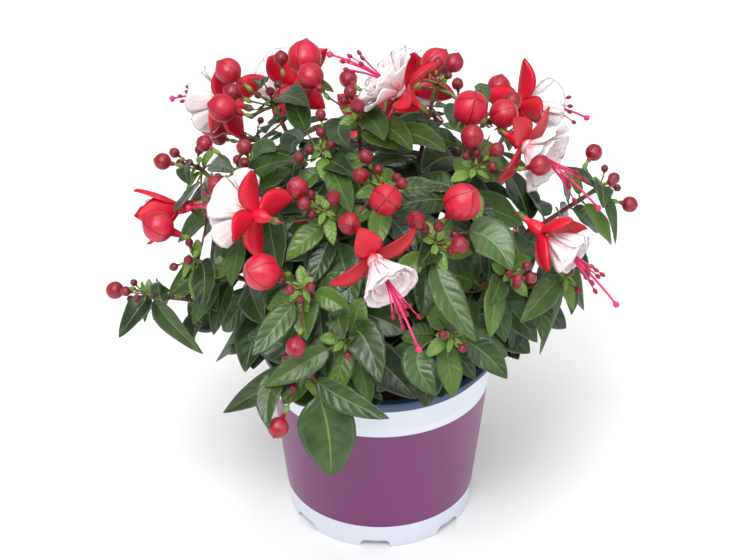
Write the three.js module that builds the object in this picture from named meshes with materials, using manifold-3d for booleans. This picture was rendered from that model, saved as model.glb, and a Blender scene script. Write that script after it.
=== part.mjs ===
// A bushy fuchsia in bloom, standing in a round nursery pot.
// Millimetres, +Z up. The origin is the middle of the pot's underside, the front is -Y.
import * as THREE from 'three';
import { mergeVertices } from 'three/addons/utils/BufferGeometryUtils.js';
import Module from 'manifold-3d';

const wasm = await Module();
wasm.setup();

// Pot
const POT_HEIGHT = 107;
const POT_SIDES = 36;
const LIP_RADIUS = 65;
const LIP_HEIGHT = 3;
const NECK_RADIUS = 61.8;
const FOOT_RADIUS = 50.2;
const WALL = 1.4;
const FLOOR = 6.4;
const PAD_RADIUS = 28;
const PAD_FLOOR = 1.8;
const FOOT_NOTCHES = 7;
const NOTCH_AZIMUTH = -3;
const NOTCH_HALF_WIDTH = 6.4;
const NOTCH_HEIGHT = 4.4;
const DRAIN_RADIUS = 3.2;
const DRAIN_REACH = 38;

// Soil
const SOIL_TOP = 97;
const SOIL_SIDES = 20;
const SOIL_LUMP = 0.8;
const STEM_DEPTH = 11;

// Crown: everything is placed from its heart, by azimuth from the front towards +X and by elevation,
// both in degrees
const HEART = new THREE.Vector3(0, 0, 130);
const GAP = 0.35;
const ROOT_ROOM = 2.2;
const STEM_BASE = 1.9;
const STEM_TIP = 1.05;
const NODE_DEPTHS = [4, 13, 26, 42];
const FIRST_LEAFY_NODE = 2;
const BARE_HEART = 58;
const LOWEST_TIP = 126;

// Leaves
const LEAF_LENGTHS = [15, 26, 40, 47];
const LEAF_THICKNESS = 1.1;
const LEAF_FOLD = 0.22;
const STALK_THICKNESS = 1.5;
const ROOT_SUNK = 0.8;
const LEAF_SLENDERNESS = 0.47;
const LEAF_BASE_REACH = 114;
const LEAF_TIP_REACH = 124;
const PAIR_TRIES = 9;
const PLACED_TRIES = 6;

// Blooms
const SEPAL_LENGTH = 24;
const SEPAL_WIDTH = 14;
const SEPAL_LEANS = [0, -14, 6, -8];
const PETAL_LENGTH = 20.5;
const PETAL_WIDTH = 19;
const STYLE_LENGTH = 42;
const PETAL_SEAT = 3;
const OVARY_BACK = 17;

// Light falls on the plant from the front and above
const LIGHT = new THREE.Vector3(0, -0.8, 0.35);
const SHADED = 0.35;

const DOWN = new THREE.Vector3(0, 0, -1);
const UP = new THREE.Vector3(0, 0, 1);

// Leafy stems: name, azimuth, elevation and reach of the tip, and the first leaf pair's turn. Buds are
// azimuth, elevation, reach and radius. Large leaves are azimuth and elevation of the blade's base, the same
// of its tip, the width, and how far its base and its tip stand out from the crown.
const SHOOTS = [
  { name: 'top_left', az: -128, el: 53, reach: 122, turn: 20,
    buds: [[-123, 49, 150, 7], [-107, 50, 135, 7.5], [-146, 58, 136, 9.2], [-117, 50, 137, 4.7],
      [-135, 58, 140, 3.8]],
    leaves: [[-128, 48, -131, 53, 13]] },
  { name: 'left_high', az: -105, el: 34, reach: 122, turn: 60,
    buds: [[-104, 30, 138, 4.6]], leaves: [[-87, 38, -70, 35, 10]] },
  { name: 'left_upper', az: -72, el: 50, reach: 119, turn: 10,
    buds: [[-95, 45, 130, 4.3], [-70, 56, 131, 4.1], [-64, 46, 130, 4.7]],
    leaves: [[-77, 54, -48, 62, 14], [-52, 36, -43, 29, 11]] },
  { name: 'left_mid', az: -65, el: 27, reach: 119, turn: 45,
    buds: [[-49, 38, 130, 4.1], [-69, 31, 138, 8]],
    leaves: [[-64, 25, -66, 16, 14], [-61, 29, -50, 19, 15], [-73, 23, -66, 14, 12, -2, -12],
      [-70, 20, -60, 14, 14, -7, -20]] },
  { name: 'left_low', az: -80, el: 8, reach: 127, turn: 30,
    buds: [[-86, 5, 142, 4.8]],
    leaves: [[-78, 8, -75, 0, 15, 14, 18], [-79, 4, -66, -4, 13, 7, -22], [-79, 10, -72, 14, 9, 12, -6]] },
  { name: 'front_low', az: -22, el: 12, reach: 108, turn: 30,
    buds: [[-23, 1, 130, 5.3]],
    leaves: [[-25, 11, -40, -3, 15], [-15, 8, 2, 5, 14], [-12, 4, -12, -14, 30],
      [-31, 12, -24, 2, 13]] },
  { name: 'front_left', az: -24, el: 34, reach: 116, turn: 75,
    buds: [[-33, 35, 131, 9.2], [-20, 21, 130, 5.1]],
    leaves: [[-25, 31, -19, 22, 17], [-26, 27, -30, 17, 14]] },
  { name: 'front_mid', az: -10, el: 22, reach: 108, turn: 15,
    buds: [], leaves: [[-6, 31, 0, 14, 19], [-15, 33, -9, 24, 13], [-17, 18, -28, 9, 14]] },
  { name: 'centre_left', az: -24, el: 54, reach: 116, turn: 50,
    buds: [[-33, 55, 131, 5.4], [-10, 49, 130, 5.6], [-28, 52, 130, 3.5], [-18, 55, 130, 3.6]],
    leaves: [] },
  { name: 'centre', az: 2, el: 62, reach: 117, turn: 5,
    buds: [[2, 55, 131, 8], [-9, 61, 130, 4.1], [-8, 66, 130, 3.5]],
    leaves: [[12, 62, 28, 58, 11]] },
  { name: 'upper_left', az: -46, el: 69, reach: 117, turn: 35,
    buds: [[-58, 74, 129, 2.8]], leaves: [[-94, 68, -130, 61, 13]] },
  { name: 'crown', az: -70, el: 84, reach: 120, turn: 70,
    buds: [[-125, 70, 130, 7], [-35, 81, 129, 3.8], [-75, 83, 130, 3.4]],
    leaves: [[-82, 76, -31, 70, 13]] },
  { name: 'top_right', az: 150, el: 60, reach: 120, turn: 25,
    buds: [[146, 58, 133, 5.3]], leaves: [] },
  { name: 'right_top', az: 108, el: 63, reach: 117, turn: 65,
    buds: [[81, 69, 130, 9.1], [89, 61, 131, 7.5], [109, 56, 131, 4.8]], leaves: [] },
  { name: 'right_upper', az: 55, el: 60, reach: 117, turn: 40,
    buds: [[57, 65, 130, 5.9], [62, 50, 141, 5.4], [62, 59, 129, 3.8]], leaves: [[70, 58, 52, 54, 11]] },
  { name: 'centre_right', az: 20, el: 46, reach: 116, turn: 80,
    buds: [[30, 52, 131, 9.4], [12, 50, 130, 4.8], [24, 43, 130, 4.6]],
    leaves: [[22, 47, 11, 40, 12], [16, 37, 24, 21, 16], [46, 50, 39, 34, 22]] },
  { name: 'right_mid', az: 42, el: 33, reach: 116, turn: 55,
    buds: [], leaves: [[41, 33, 29, 28, 12]] },
  { name: 'right_low', az: 62, el: 24, reach: 118, turn: 105,
    buds: [], leaves: [[57, 24, 37, 22, 15], [68, 19, 63, 12, 9, 0, -11], [58, 23, 59, -1, 9, 1, -27]] },
  { name: 'right_far', az: 95, el: 29, reach: 134, turn: 35,
    buds: [[105, 32, 139, 4.6], [96, 21, 143, 4.3]],
    leaves: [[91, 34, 84, 29, 12, 27, 9], [93, 27, 88, 17, 8, 23, 6], [94, 32, 86, 43, 8, 20, 2]] },
  { name: 'front_right', az: 20, el: 22, reach: 112, turn: 0,
    buds: [], leaves: [[3, 22, 13, 10, 16], [27, 20, 31, 10, 15]] },
  { name: 'back_left', az: -142, el: 24, reach: 124, turn: 30,
    buds: [[-132, 26, 139, 7.4], [-136, 20, 138, 4.6]], leaves: [[-138, 12, -126, -3, 20]] },
  { name: 'back', az: 178, el: 38, reach: 123, turn: 50,
    buds: [[158, 52, 132, 8.2], [-171, 33, 136, 5.2]], leaves: [[180, 18, 172, 2, 21]] },
  { name: 'back_right', az: 140, el: 27, reach: 124, turn: 70,
    buds: [[144, 36, 138, 6.6], [147, 22, 138, 4.4]], leaves: [[142, 14, 156, 0, 20]] },
  { name: 'back_low', az: -172, el: 6, reach: 118, turn: 10,
    buds: [[-165, 10, 132, 5.4]], leaves: [[-160, 4, -150, -9, 19], [176, 2, 190, -10, 18]] },
];

// Blooms: the stem that bears it, azimuth, elevation and reach of the mouth, the way it faces, the turn of its
// sepals, how far the petals open, and how far the sepals lean back and curl on, all in degrees
const BLOOMS = [
  { name: 'top_left', on: 'top_left', at: [-128, 40, 134], faces: [-0.68, 0.62, -0.1], turn: 75, open: 45 },
  { name: 'crown', on: 'top_right', at: [84, 85, 127], faces: [-0.78, 0.12, 0.62], turn: 20, open: 52 },
  { name: 'right_upper', on: 'right_upper', at: [80, 54, 127], faces: [0.78, -0.54, -0.26], turn: 30, open: 44 },
  { name: 'right', on: 'right_mid', at: [54, 38, 128], faces: [0.74, -0.5, -0.36], turn: 10, open: 9,
    lean: 77, curl: -42 },
  { name: 'left', on: 'centre_left', at: [-44, 46, 129], faces: [-0.7, 0.6, -0.1], turn: 88, open: 48 },
  { name: 'centre', on: 'centre', at: [-2, 42, 132], faces: [0.46, -0.78, -0.4], turn: 25, open: 24 },
  { name: 'back_left', on: 'back_left', at: [-152, 41, 130], faces: [-0.5, 0.8, -0.2], turn: 50, open: 30 },
  { name: 'back_upper', on: 'back', at: [170, 38, 124], faces: [0.15, 0.95, -0.05], turn: 5, open: 40 },
  { name: 'back_right', on: 'back_right', at: [128, 42, 130], faces: [0.8, 0.5, -0.25], turn: 80, open: 20 },
  { name: 'back_low', on: 'back_low', at: [-178, 18, 130], faces: [0.1, 0.85, -0.5], turn: 35, open: 26 },
];
const HALF_OPEN = {
  name: 'half_open', on: 'left_mid', at: [-79, 33, 128], faces: [-0.95, -0.2, -0.1], turn: 30, lean: 43,
  curl: -28,
};

const LEAF_GREEN = new THREE.MeshStandardMaterial({ color: 0x2f6b2c, roughness: 0.55 });
const SEPAL_RED = new THREE.MeshStandardMaterial({ color: 0xd8142f, roughness: 0.45 });
const PETAL_WHITE = new THREE.MeshStandardMaterial({ color: 0xf6eef0, roughness: 0.6 });
const STAMEN_PINK = new THREE.MeshStandardMaterial({ color: 0xd3246a, roughness: 0.4 });
const POT_PLASTIC = new THREE.MeshStandardMaterial({ color: 0xeef0f4, roughness: 0.35 });
const SOIL_BROWN = new THREE.MeshStandardMaterial({ color: 0x3a2a20, roughness: 0.95 });

const vec = (x, y, z) => new THREE.Vector3(x, y, z);
const radians = THREE.MathUtils.degToRad;
const mix = (a, b, t) => a.clone().lerp(b, t);
const square = (a, n) => a.clone().addScaledVector(n, -a.dot(n)).normalize();
const turned = (a, b, angle) => a.clone().multiplyScalar(Math.cos(angle)).addScaledVector(b, Math.sin(angle));

// A repeatable stream of draws from 0 to 1
function draws(seed) {
  let state = seed >>> 0;
  return () => {
    state = (state + 0x6d2b79f5) >>> 0;
    let t = Math.imul(state ^ (state >>> 15), 1 | state);
    t = (t + Math.imul(t ^ (t >>> 7), 61 | t)) ^ t;
    return ((t ^ (t >>> 14)) >>> 0) / 4294967296;
  };
}

// A point of the crown, from the heart
function crown(az, el, reach) {
  const flat = reach * Math.cos(radians(el));
  const a = radians(az);
  return vec(flat * Math.sin(a), -flat * Math.cos(a), reach * Math.sin(radians(el))).add(HEART);
}

// Point and direction of a quadratic arc
function arcPoint(a, b, c, t) {
  return mix(mix(a, b, t), mix(b, c, t), t);
}
function arcWay(a, b, c, t) {
  return mix(b, c, t).sub(mix(a, b, t)).normalize();
}

// Closed surface through rings of points; a ring of one point is a pole
function loft(rings) {
  const points = rings.flat();
  const index = [];
  let base = 0;
  for (let r = 0; r + 1 < rings.length; r++) {
    const [low, high] = [rings[r].length, rings[r + 1].length];
    const sides = Math.max(low, high);
    for (let i = 0; i < sides; i++) {
      const j = (i + 1) % sides;
      const [a, b] = low > 1 ? [base + i, base + j] : [base, base];
      const [c, d] = high > 1 ? [base + low + i, base + low + j] : [base + low, base + low];
      if (low > 1) index.push(a, b, d);
      if (high > 1) index.push(a, d, c);
    }
    base += low;
  }
  for (let i = 1; i + 1 < rings[0].length; i++) index.push(0, i + 1, i);
  for (let i = 1; i + 1 < rings.at(-1).length; i++) index.push(base, base + i, base + i + 1);
  return { points, index };
}

// A round tube along points, with a radius at each; a radius of 0 closes it in a pole
function tube(path, radii, sides) {
  const first = path[1].clone().sub(path[0]);
  let side = square(Math.abs(first.x) < 1 ? vec(1, 0, 0) : UP, first.normalize());
  return loft(path.map((point, i) => {
    const [before, after] = [path[Math.max(i - 1, 0)], path[Math.min(i + 1, path.length - 1)]];
    const way = after.clone().sub(before).normalize();
    side = square(side, way);
    if (radii[i] === 0) return [point];
    const other = way.clone().cross(side);
    return Array.from({ length: sides }, (_, k) => {
      const a = (k / sides) * 2 * Math.PI;
      return point.clone().addScaledVector(turned(side, other, a), radii[i]);
    });
  }));
}

// A blade from rows of { left, mid, right, face, thick }. Its edge is sharp, or as thick as the rim.
// A row whose left, middle and right are one point is a tip. Both faces are split into the same triangles.
function blade(rows, rim = 0) {
  const points = [];
  const index = [];
  const put = (p) => points.push(p) - 1;
  const sheet = (sign) => rows.map(({ left, mid, right, face, thick }) => {
    const lift = (p, by) => p.clone().addScaledVector(face, (sign * by) / 2);
    if (left === right) return Array(3).fill(put(lift(mid, rim)));
    return [put(lift(left, rim)), put(lift(mid, thick)), put(lift(right, rim))];
  });
  const top = sheet(1);
  const bottom = sheet(-1);
  if (rim === 0) {
    top.forEach((row, i) => {
      [bottom[i][0], bottom[i][2]] = [row[0], row[2]];
      if (row[0] === row[2]) bottom[i][1] = row[1];
    });
  }
  const face = (a, b, c) => {
    if (a !== b && b !== c && a !== c) index.push(a, b, c);
  };
  for (let i = 0; i + 1 < rows.length; i++) {
    for (const [g, turned] of [[top, false], [bottom, true]]) {
      for (const k of [0, 1]) {
        const [a, b, c, d] = [g[i][k], g[i][k + 1], g[i + 1][k + 1], g[i + 1][k]];
        const [x, y] = k === 0 ? [[a, b, c], [a, c, d]] : [[a, b, d], [b, c, d]];
        for (const t of [x, y]) turned ? face(...t.toReversed()) : face(...t);
      }
    }
    face(top[i][0], top[i + 1][0], bottom[i + 1][0]);
    face(top[i][0], bottom[i + 1][0], bottom[i][0]);
    face(top[i + 1][2], top[i][2], bottom[i][2]);
    face(top[i + 1][2], bottom[i][2], bottom[i + 1][2]);
  }
  for (const [i, turned] of [[0, false], [rows.length - 1, true]]) {
    for (const t of [[top[i][0], bottom[i][0], bottom[i][1]], [top[i][0], bottom[i][1], top[i][1]],
      [top[i][1], bottom[i][1], bottom[i][2]], [top[i][1], bottom[i][2], top[i][2]]]) {
      turned ? face(...t.toReversed()) : face(...t);
    }
  }
  return { points: drop(points, index), index };
}

// Points that no triangle uses are dropped by the renumbering
function drop(points, index) {
  const used = [...new Set(index)].sort((a, b) => a - b);
  const at = new Map(used.map((old, now) => [old, now]));
  index.forEach((old, i) => { index[i] = at.get(old); });
  return used.map((old) => points[old]);
}

// Points and triangles of a plain geometry
function plain(geometry) {
  geometry.deleteAttribute('normal');
  geometry.deleteAttribute('uv');
  const merged = mergeVertices(geometry, 1e-4);
  const { position } = merged.attributes;
  const points = Array.from({ length: position.count }, (_, i) => vec().fromBufferAttribute(position, i));
  return { points, index: [...merged.index.array] };
}

// Solids and their joins
function solid({ points, index }) {
  const vertProperties = new Float32Array(points.flatMap((p) => [p.x, p.y, p.z]));
  return new wasm.Manifold(new wasm.Mesh({ numProp: 3, vertProperties, triVerts: new Uint32Array(index) }));
}

function join(shapes) {
  return shapes.map(solid).reduce((a, b) => a.add(b));
}

// A named mesh. Hollows that the join sealed and loose scraps are left out.
function node(name, body, material) {
  const whole = body.decompose().reduce((a, b) => (b.volume() > a.volume() ? b : a));
  const { vertProperties, triVerts } = whole.getMesh();
  const geometry = new THREE.BufferGeometry();
  geometry.setAttribute('position', new THREE.BufferAttribute(new Float32Array(vertProperties), 3));
  geometry.setIndex(new THREE.BufferAttribute(new Uint32Array(triVerts), 1));
  geometry.computeVertexNormals();
  const mesh = new THREE.Mesh(geometry, material);
  mesh.name = name;
  return mesh;
}

// What stands already, so that each new leaf, bud or bloom keeps clear of it
class Clearance {
  constructor() {
    this.things = [];
  }

  // Triangles with their boxes. Those that start at the root are in the stem that bears the thing.
  static triangles({ points, index }, root) {
    const out = [];
    for (let i = 0; i < index.length; i += 3) {
      const corners = [points[index[i]], points[index[i + 1]], points[index[i + 2]]];
      const rooted = corners.some((corner) => root && corner.distanceTo(root) < ROOT_ROOM);
      out.push({ corners, rooted, box: new THREE.Box3().setFromPoints(corners) });
    }
    return out;
  }

  add(shape, owner, root) {
    const triangles = Clearance.triangles(shape, root);
    this.things.push({ triangles, owner, box: new THREE.Box3().setFromPoints(shape.points) });
  }

  // Whether a shape meets anything of another owner, or its own owner's things away from their roots
  meets(shape, owner, root) {
    const box = new THREE.Box3().setFromPoints(shape.points);
    const near = this.things.filter((t) => t.box.intersectsBox(box) && t.owner !== `${owner} stem`);
    if (!near.length) return false;
    const own = Clearance.triangles(shape, root);
    return near.some((thing) => thing.triangles.some((t) => own.some((o) => o.box.intersectsBox(t.box)
      && !(thing.owner === owner && (o.rooted || t.rooted))
      && (pierces(o.corners, t.corners) || pierces(t.corners, o.corners)))));
  }
}

// Whether an edge of one triangle goes through the other
function pierces(edges, [a, b, c]) {
  const u = b.clone().sub(a);
  const v = c.clone().sub(a);
  return edges.some((p, i) => {
    const way = edges[(i + 1) % 3].clone().sub(p);
    const h = way.clone().cross(v);
    const det = u.dot(h);
    if (Math.abs(det) < 1e-12) return false;
    const s = p.clone().sub(a);
    const x = s.dot(h) / det;
    const q = s.cross(u);
    const y = way.dot(q) / det;
    const t = v.dot(q) / det;
    return x >= 0 && y >= 0 && x + y <= 1 && t >= 0 && t <= 1;
  });
}

// A shoot's curve: straight up out of the soil, then over to its tip
function shootCurve({ az, el, reach }) {
  const tip = crown(az, el, reach);
  const out = tip.clone().sub(HEART).normalize();
  const foot = 9 + 31 * Math.cos(radians(el)) ** 1.5;
  const root = vec(foot * Math.sin(radians(az)), -foot * Math.cos(radians(az)), SOIL_TOP + 2);
  const length = tip.distanceTo(root);
  const rise = root.clone().addScaledVector(UP, length / 3);
  const bend = tip.clone().addScaledVector(out.addScaledVector(UP, 0.15).normalize(), -length / 3);
  return { curve: new THREE.CubicBezierCurve3(root, rise, bend, tip), length };
}

// The leaf nodes along a shoot, from the tip down: where they are, and the two ways square to the stem
function leafNodes({ curve, length }) {
  return NODE_DEPTHS.filter((depth) => depth < length * 0.8).map((depth) => {
    const t = 1 - depth / length;
    const at = curve.getPoint(t);
    const way = curve.getPoint(t + 0.01).sub(curve.getPoint(t - 0.01)).normalize();
    const level = way.clone().cross(UP).normalize();
    return { t, at, way, level, steep: level.clone().cross(way) };
  });
}

const stemRadius = (t) => THREE.MathUtils.lerp(STEM_BASE, STEM_TIP, t);

function stemTube({ curve }, nodes) {
  const root = curve.getPoint(0);
  const between = nodes.map(({ t }, i) => (t + (nodes[i + 1]?.t ?? t - 0.16)) / 2);
  const steps = [0, ...between.toReversed(), 1];
  const path = [root.clone().addScaledVector(DOWN, STEM_DEPTH), ...steps.map((t) => curve.getPoint(t))];
  return tube(path, [STEM_BASE, ...steps.map(stemRadius)], 4);
}

// Half the width of a pointed oval blade, as a share of its widest
const oval = (t) => 2.72 * t ** 0.62 * (1 - t) ** 0.85;

// A leaf along an arc from its root, a point inside the stem. The blade begins after the stalk and is folded
// up along its midrib.
function leafRows({ root, elbow, tip, width, stalk, face }, grow) {
  const steps = [0, stalk, stalk + (1 - stalk) * 0.34, stalk + (1 - stalk) * 0.7, 1];
  return steps.map((t) => {
    const way = arcWay(root, elbow, tip, t);
    const mid = arcPoint(root, elbow, tip, t).addScaledVector(way, t === 0 ? -ROOT_SUNK : 0);
    const up = square(face, way);
    const thick = (t === stalk ? STALK_THICKNESS : LEAF_THICKNESS) + 2 * grow;
    if (t === 0 || t === 1) return { left: mid, mid, right: mid, face: up, thick };
    const across = way.clone().cross(up);
    const half = grow + (t === stalk ? STALK_THICKNESS / 2 : (width / 2) * oval((t - stalk) / (1 - stalk)));
    const raised = up.clone().multiplyScalar(t === stalk ? 0 : LEAF_FOLD * half);
    const left = mid.clone().addScaledVector(across, -half).add(raised);
    const right = mid.clone().addScaledVector(across, half).add(raised);
    return { left, mid, right, face: up, thick };
  });
}
const leafShape = (leaf) => [blade(leafRows(leaf, 0))];
const leafRoom = (leaf) => [blade(leafRows(leaf, GAP), 2 * GAP)];

// Where a leaf at a place turns its face: outwards, and to the light too where the crown doesn't shade it
function shown(place) {
  const outward = place.clone().sub(HEART).normalize();
  return outward.y < SHADED ? outward.add(LIGHT) : outward;
}

// One leaf of a pair: it spreads from the stem, sags under its own weight and shows its face outwards
function pairedLeaf(where, turn, nominal, draw, attempt) {
  const loose = 0.11 * attempt;
  const angle = turn + (draw() - 0.5) * (0.3 + 2 * loose);
  const spread = 1.15 + (draw() - 0.5) * (0.3 + 2 * loose);
  const length = nominal * (0.88 + 0.24 * draw()) * (1 - 0.045 * attempt);
  const sag = 0.08 + 0.26 * draw();
  const along = turned(where.level, where.steep, angle).multiplyScalar(Math.sin(spread));
  along.addScaledVector(where.way, Math.cos(spread)).addScaledVector(DOWN, 0.3).normalize();
  const face = square(where.way.clone().multiplyScalar(0.6).add(shown(where.at)).addScaledVector(UP, 0.4), along);
  const elbow = where.at.clone().addScaledVector(along, length * 0.5);
  const tip = where.at.clone().addScaledVector(along, length * 0.95).addScaledVector(DOWN, length * sag);
  tip.addScaledVector(face, -0.12 * length);
  tip.z = Math.max(tip.z, LOWEST_TIP);
  return { root: where.at, elbow, tip, width: length * LEAF_SLENDERNESS, stalk: 0.12, face };
}

// A large leaf whose blade runs from one place of the crown to another, on the node nearest to its base
function largeLeaf([az, el, tipAz, tipEl, width, out = 0, tipOut = out], nodes, attempt) {
  const shift = [0, 4, -4, 8, -8, 12][attempt];
  const elbow = crown(az, el, LEAF_BASE_REACH + out + shift / 2);
  const tip = crown(tipAz, tipEl, LEAF_TIP_REACH + tipOut + shift);
  const { at: root } = nearest(nodes, elbow, 8);
  const bare = root.distanceTo(elbow);
  const stalk = THREE.MathUtils.clamp((0.75 * bare) / (bare + elbow.distanceTo(tip)), 0.14, 0.4);
  const face = shown(mix(elbow, tip, 0.5)).addScaledVector(UP, 0.25);
  return { root, elbow, tip, width, stalk, face };
}

// The node whose distance from a place is closest to the wanted one
function nearest(nodes, place, wanted) {
  const off = (n) => Math.abs(n.at.distanceTo(place) - wanted);
  return nodes.reduce((a, b) => (off(b) < off(a) ? b : a));
}

// A stalked bud: a thin stalk into a small ovary and a short tube, and a ball that ends in a point
function bud({ root, elbow, ball, radius }, grow) {
  const way = arcWay(root, elbow, ball, 1);
  const beyond = (by) => ball.clone().addScaledVector(way, by * radius);
  const sides = radius > 6.4 ? 7 : radius > 3.3 ? 6 : 5;
  const rings = [[-0.98, 0.36], [-0.35, 0.95], [0.5, 0.88], [1.25, 0]];
  const radii = rings.map(([, share]) => (share ? share * radius + grow : 0));
  const neck = [root, arcPoint(root, elbow, ball, 0.4), beyond(-2.1), beyond(-0.7)];
  const stalk = tube(neck, [0.6, 0.6, 1.6, 0.18 * radius].map((r) => r + grow), 3);
  return [stalk, tube(rings.map(([by]) => beyond(by)), radii, sides)];
}

function placedBud([az, el, reach, radius], nodes, attempt) {
  const shift = [0, 3, -3, 6, 9, -6][attempt];
  const ball = crown(az, el, reach + shift);
  const { at: root, way } = nearest(nodes, ball, 10 + 2.4 * radius);
  const hang = radius > 3.3 ? 0.35 : -0.1;
  const out = ball.clone().sub(HEART).normalize().addScaledVector(DOWN, hang);
  out.addScaledVector(ball.clone().sub(root).normalize(), 0.6).normalize();
  const elbow = ball.clone().addScaledVector(out, -Math.max(2.7 * radius, 0.45 * ball.distanceTo(root)));
  return { root, elbow: mix(elbow, root.clone().addScaledVector(way, 3), 0.15), ball, radius };
}

// Directions square to an axis, in a fan
function fan(axis, angle) {
  const side = square(Math.abs(axis.z) < 0.9 ? UP : vec(1, 0, 0), axis);
  return turned(side, axis.clone().cross(side), angle);
}

// A petal or sepal: it leaves the axis at a lean, and its arc bends it out from its inner face
function petalRows(mouth, axis, form, grow) {
  const { angle, start, out, lean, bend, length, width, thick, shares, cup, wave } = form;
  const aside = fan(axis, angle);
  const along = turned(axis, aside, lean);
  const inner = turned(axis, aside, lean - Math.PI / 2);
  const root = mouth.clone().addScaledVector(axis, start).addScaledVector(aside, out);
  const across = along.clone().cross(inner);
  return shares.map(([t, share], i) => {
    const a = bend * t;
    const reach = (length * Math.sin(a)) / bend;
    const fall = (length * (1 - Math.cos(a))) / bend;
    const mid = root.clone().addScaledVector(along, reach).addScaledVector(inner, -fall);
    const face = turned(inner, along, a);
    if (share === 0) return { left: mid, mid, right: mid, face, thick: thick + 2 * grow };
    const half = (share * width) / 2 + grow;
    const rise = cup * half;
    const left = mid.clone().addScaledVector(across, -half).addScaledVector(face, rise + wave * i);
    const right = mid.clone().addScaledVector(across, half).addScaledVector(face, rise - wave * i);
    return { left, mid, right, face, thick: thick + 2 * grow };
  });
}

const SEPAL_SHARES = [[0, 0.26], [0.32, 0.98], [0.7, 0.84], [1, 0]];
const PETAL_SHARES = [[0, 0.2], [0.5, 0.66], [1, 0.82]];

// The four parts of a flower, in its own frame: the mouth of its tube and the axis that it opens along
function sepals(mouth, axis, { turn, lean = 84, curl = 32 }, grow) {
  return SEPAL_LEANS.map((more, k) => {
    const form = { angle: radians(turn + 90 * k), start: -1.4, out: 1.6, lean: radians(lean + more),
      bend: radians(curl), length: SEPAL_LENGTH, width: SEPAL_WIDTH, thick: 1.3, shares: SEPAL_SHARES,
      cup: 0.25, wave: 0 };
    return blade(petalRows(mouth, axis, form, grow), 2 * grow);
  });
}

function petals(mouth, axis, { turn, open }, grow) {
  const outer = [0, 1, 2, 3].map((k) => ({ angle: radians(turn + 45 + 90 * k), out: 2.6, lean: radians(open),
    bend: 0.35, length: PETAL_LENGTH, width: PETAL_WIDTH }));
  const inner = [0, 1].map((k) => ({ angle: radians(turn + 180 * k), out: 1.7, lean: radians(open * 0.4),
    bend: 0.3, length: 0.78 * PETAL_LENGTH, width: 0.7 * PETAL_WIDTH }));
  return [...outer, ...inner].map((own) => {
    const form = { ...own, start: 1.3, thick: 0.9, shares: PETAL_SHARES, cup: 0.15, wave: 0.4 };
    return blade(petalRows(mouth, axis, form, grow), 2 * grow);
  });
}

function heart(mouth, axis, grow) {
  const path = [GAP, PETAL_SEAT].map((by) => mouth.clone().addScaledVector(axis, by));
  return tube(path, [3.4 + grow, 4.5 + grow], 6);
}

function stamens(mouth, axis, grow) {
  const start = mouth.clone().addScaledVector(axis, PETAL_SEAT + GAP);
  const style = [0, 0.45, 0.93, 0.97, 1.03].map((t) => start.clone().addScaledVector(axis, STYLE_LENGTH * t)
    .addScaledVector(DOWN, STYLE_LENGTH * 0.22 * t * t));
  const threads = [0, 1, 2].map((k) => {
    const aside = fan(axis, 0.9 + (k * 2 * Math.PI) / 3);
    const length = 25 + 3 * k;
    const path = [0.02, 0.55, 0.94, 1.04].map((t) => start.clone().addScaledVector(axis, length * t)
      .addScaledVector(aside, length * 0.22 * t * t).addScaledVector(DOWN, length * 0.12 * t * t));
    return tube(path, [0.4, 0.4, 1, 0].map((r) => (r ? r + grow : 0)), 3);
  });
  return [tube(style, [0.9, 0.7, 0.65, 1.6, 0].map((r) => (r ? r + grow : 0)), 3), ...threads];
}

// The stalk, the ovary and the tube, up to the flower's mouth
function calyxTube(mouth, axis, root, grow) {
  const back = (by) => mouth.clone().addScaledVector(axis, -by);
  const elbow = back(Math.max(OVARY_BACK, 0.6 * root.distanceTo(mouth)));
  const stalk = [0, 0.4].map((t) => arcPoint(root, elbow, back(OVARY_BACK), t));
  const path = [...stalk, back(OVARY_BACK), back(14.5), back(11.5), back(6), mouth];
  return tube(path, [0.7, 0.7, 0.9, 2.1, 1.8, 3.3, 3.7].map((r) => r + grow), 4);
}

function placeBloom({ at: [az, el, reach], faces, on }, shoots, attempt) {
  const mouth = crown(az, el, reach + [0, 3, -3, 6, 9, 12][attempt]);
  const axis = vec(...faces).normalize();
  const ovary = mouth.clone().addScaledVector(axis, -OVARY_BACK);
  const { t, at, way } = nearest(shoots.get(on).nodes, ovary, 16);
  return { mouth, axis, root: at.clone().addScaledVector(square(ovary.sub(at), way), stemRadius(t) + 1.9 * GAP) };
}

// Tries the ways to place a thing in turn; gives the first one that is clear, or nothing
function firstClear(tries, place, room, clearance, owner) {
  for (let attempt = 0; attempt < tries; attempt++) {
    const thing = place(attempt);
    if (!room(thing).some((shape) => clearance.meets(shape, owner, thing.root))) return thing;
  }
  return null;
}

// The outer radius of the pot's tapered wall at a height
const slope = (z) => THREE.MathUtils.lerp(FOOT_RADIUS, NECK_RADIUS, z / (POT_HEIGHT - LIP_HEIGHT));

// A solid turned about +Z from radii and heights; the heights may be shaped further
function turnedSolid(profile, sides, shaped = (x, y, z) => z) {
  const lathe = new THREE.LatheGeometry(profile.map(([r, z]) => new THREE.Vector2(r, z)), sides);
  const { position } = lathe.rotateX(Math.PI / 2).attributes;
  for (let i = 0; i < position.count; i++) {
    position.setZ(i, shaped(position.getX(i), position.getY(i), position.getZ(i)));
  }
  return solid(plain(lathe));
}

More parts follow.
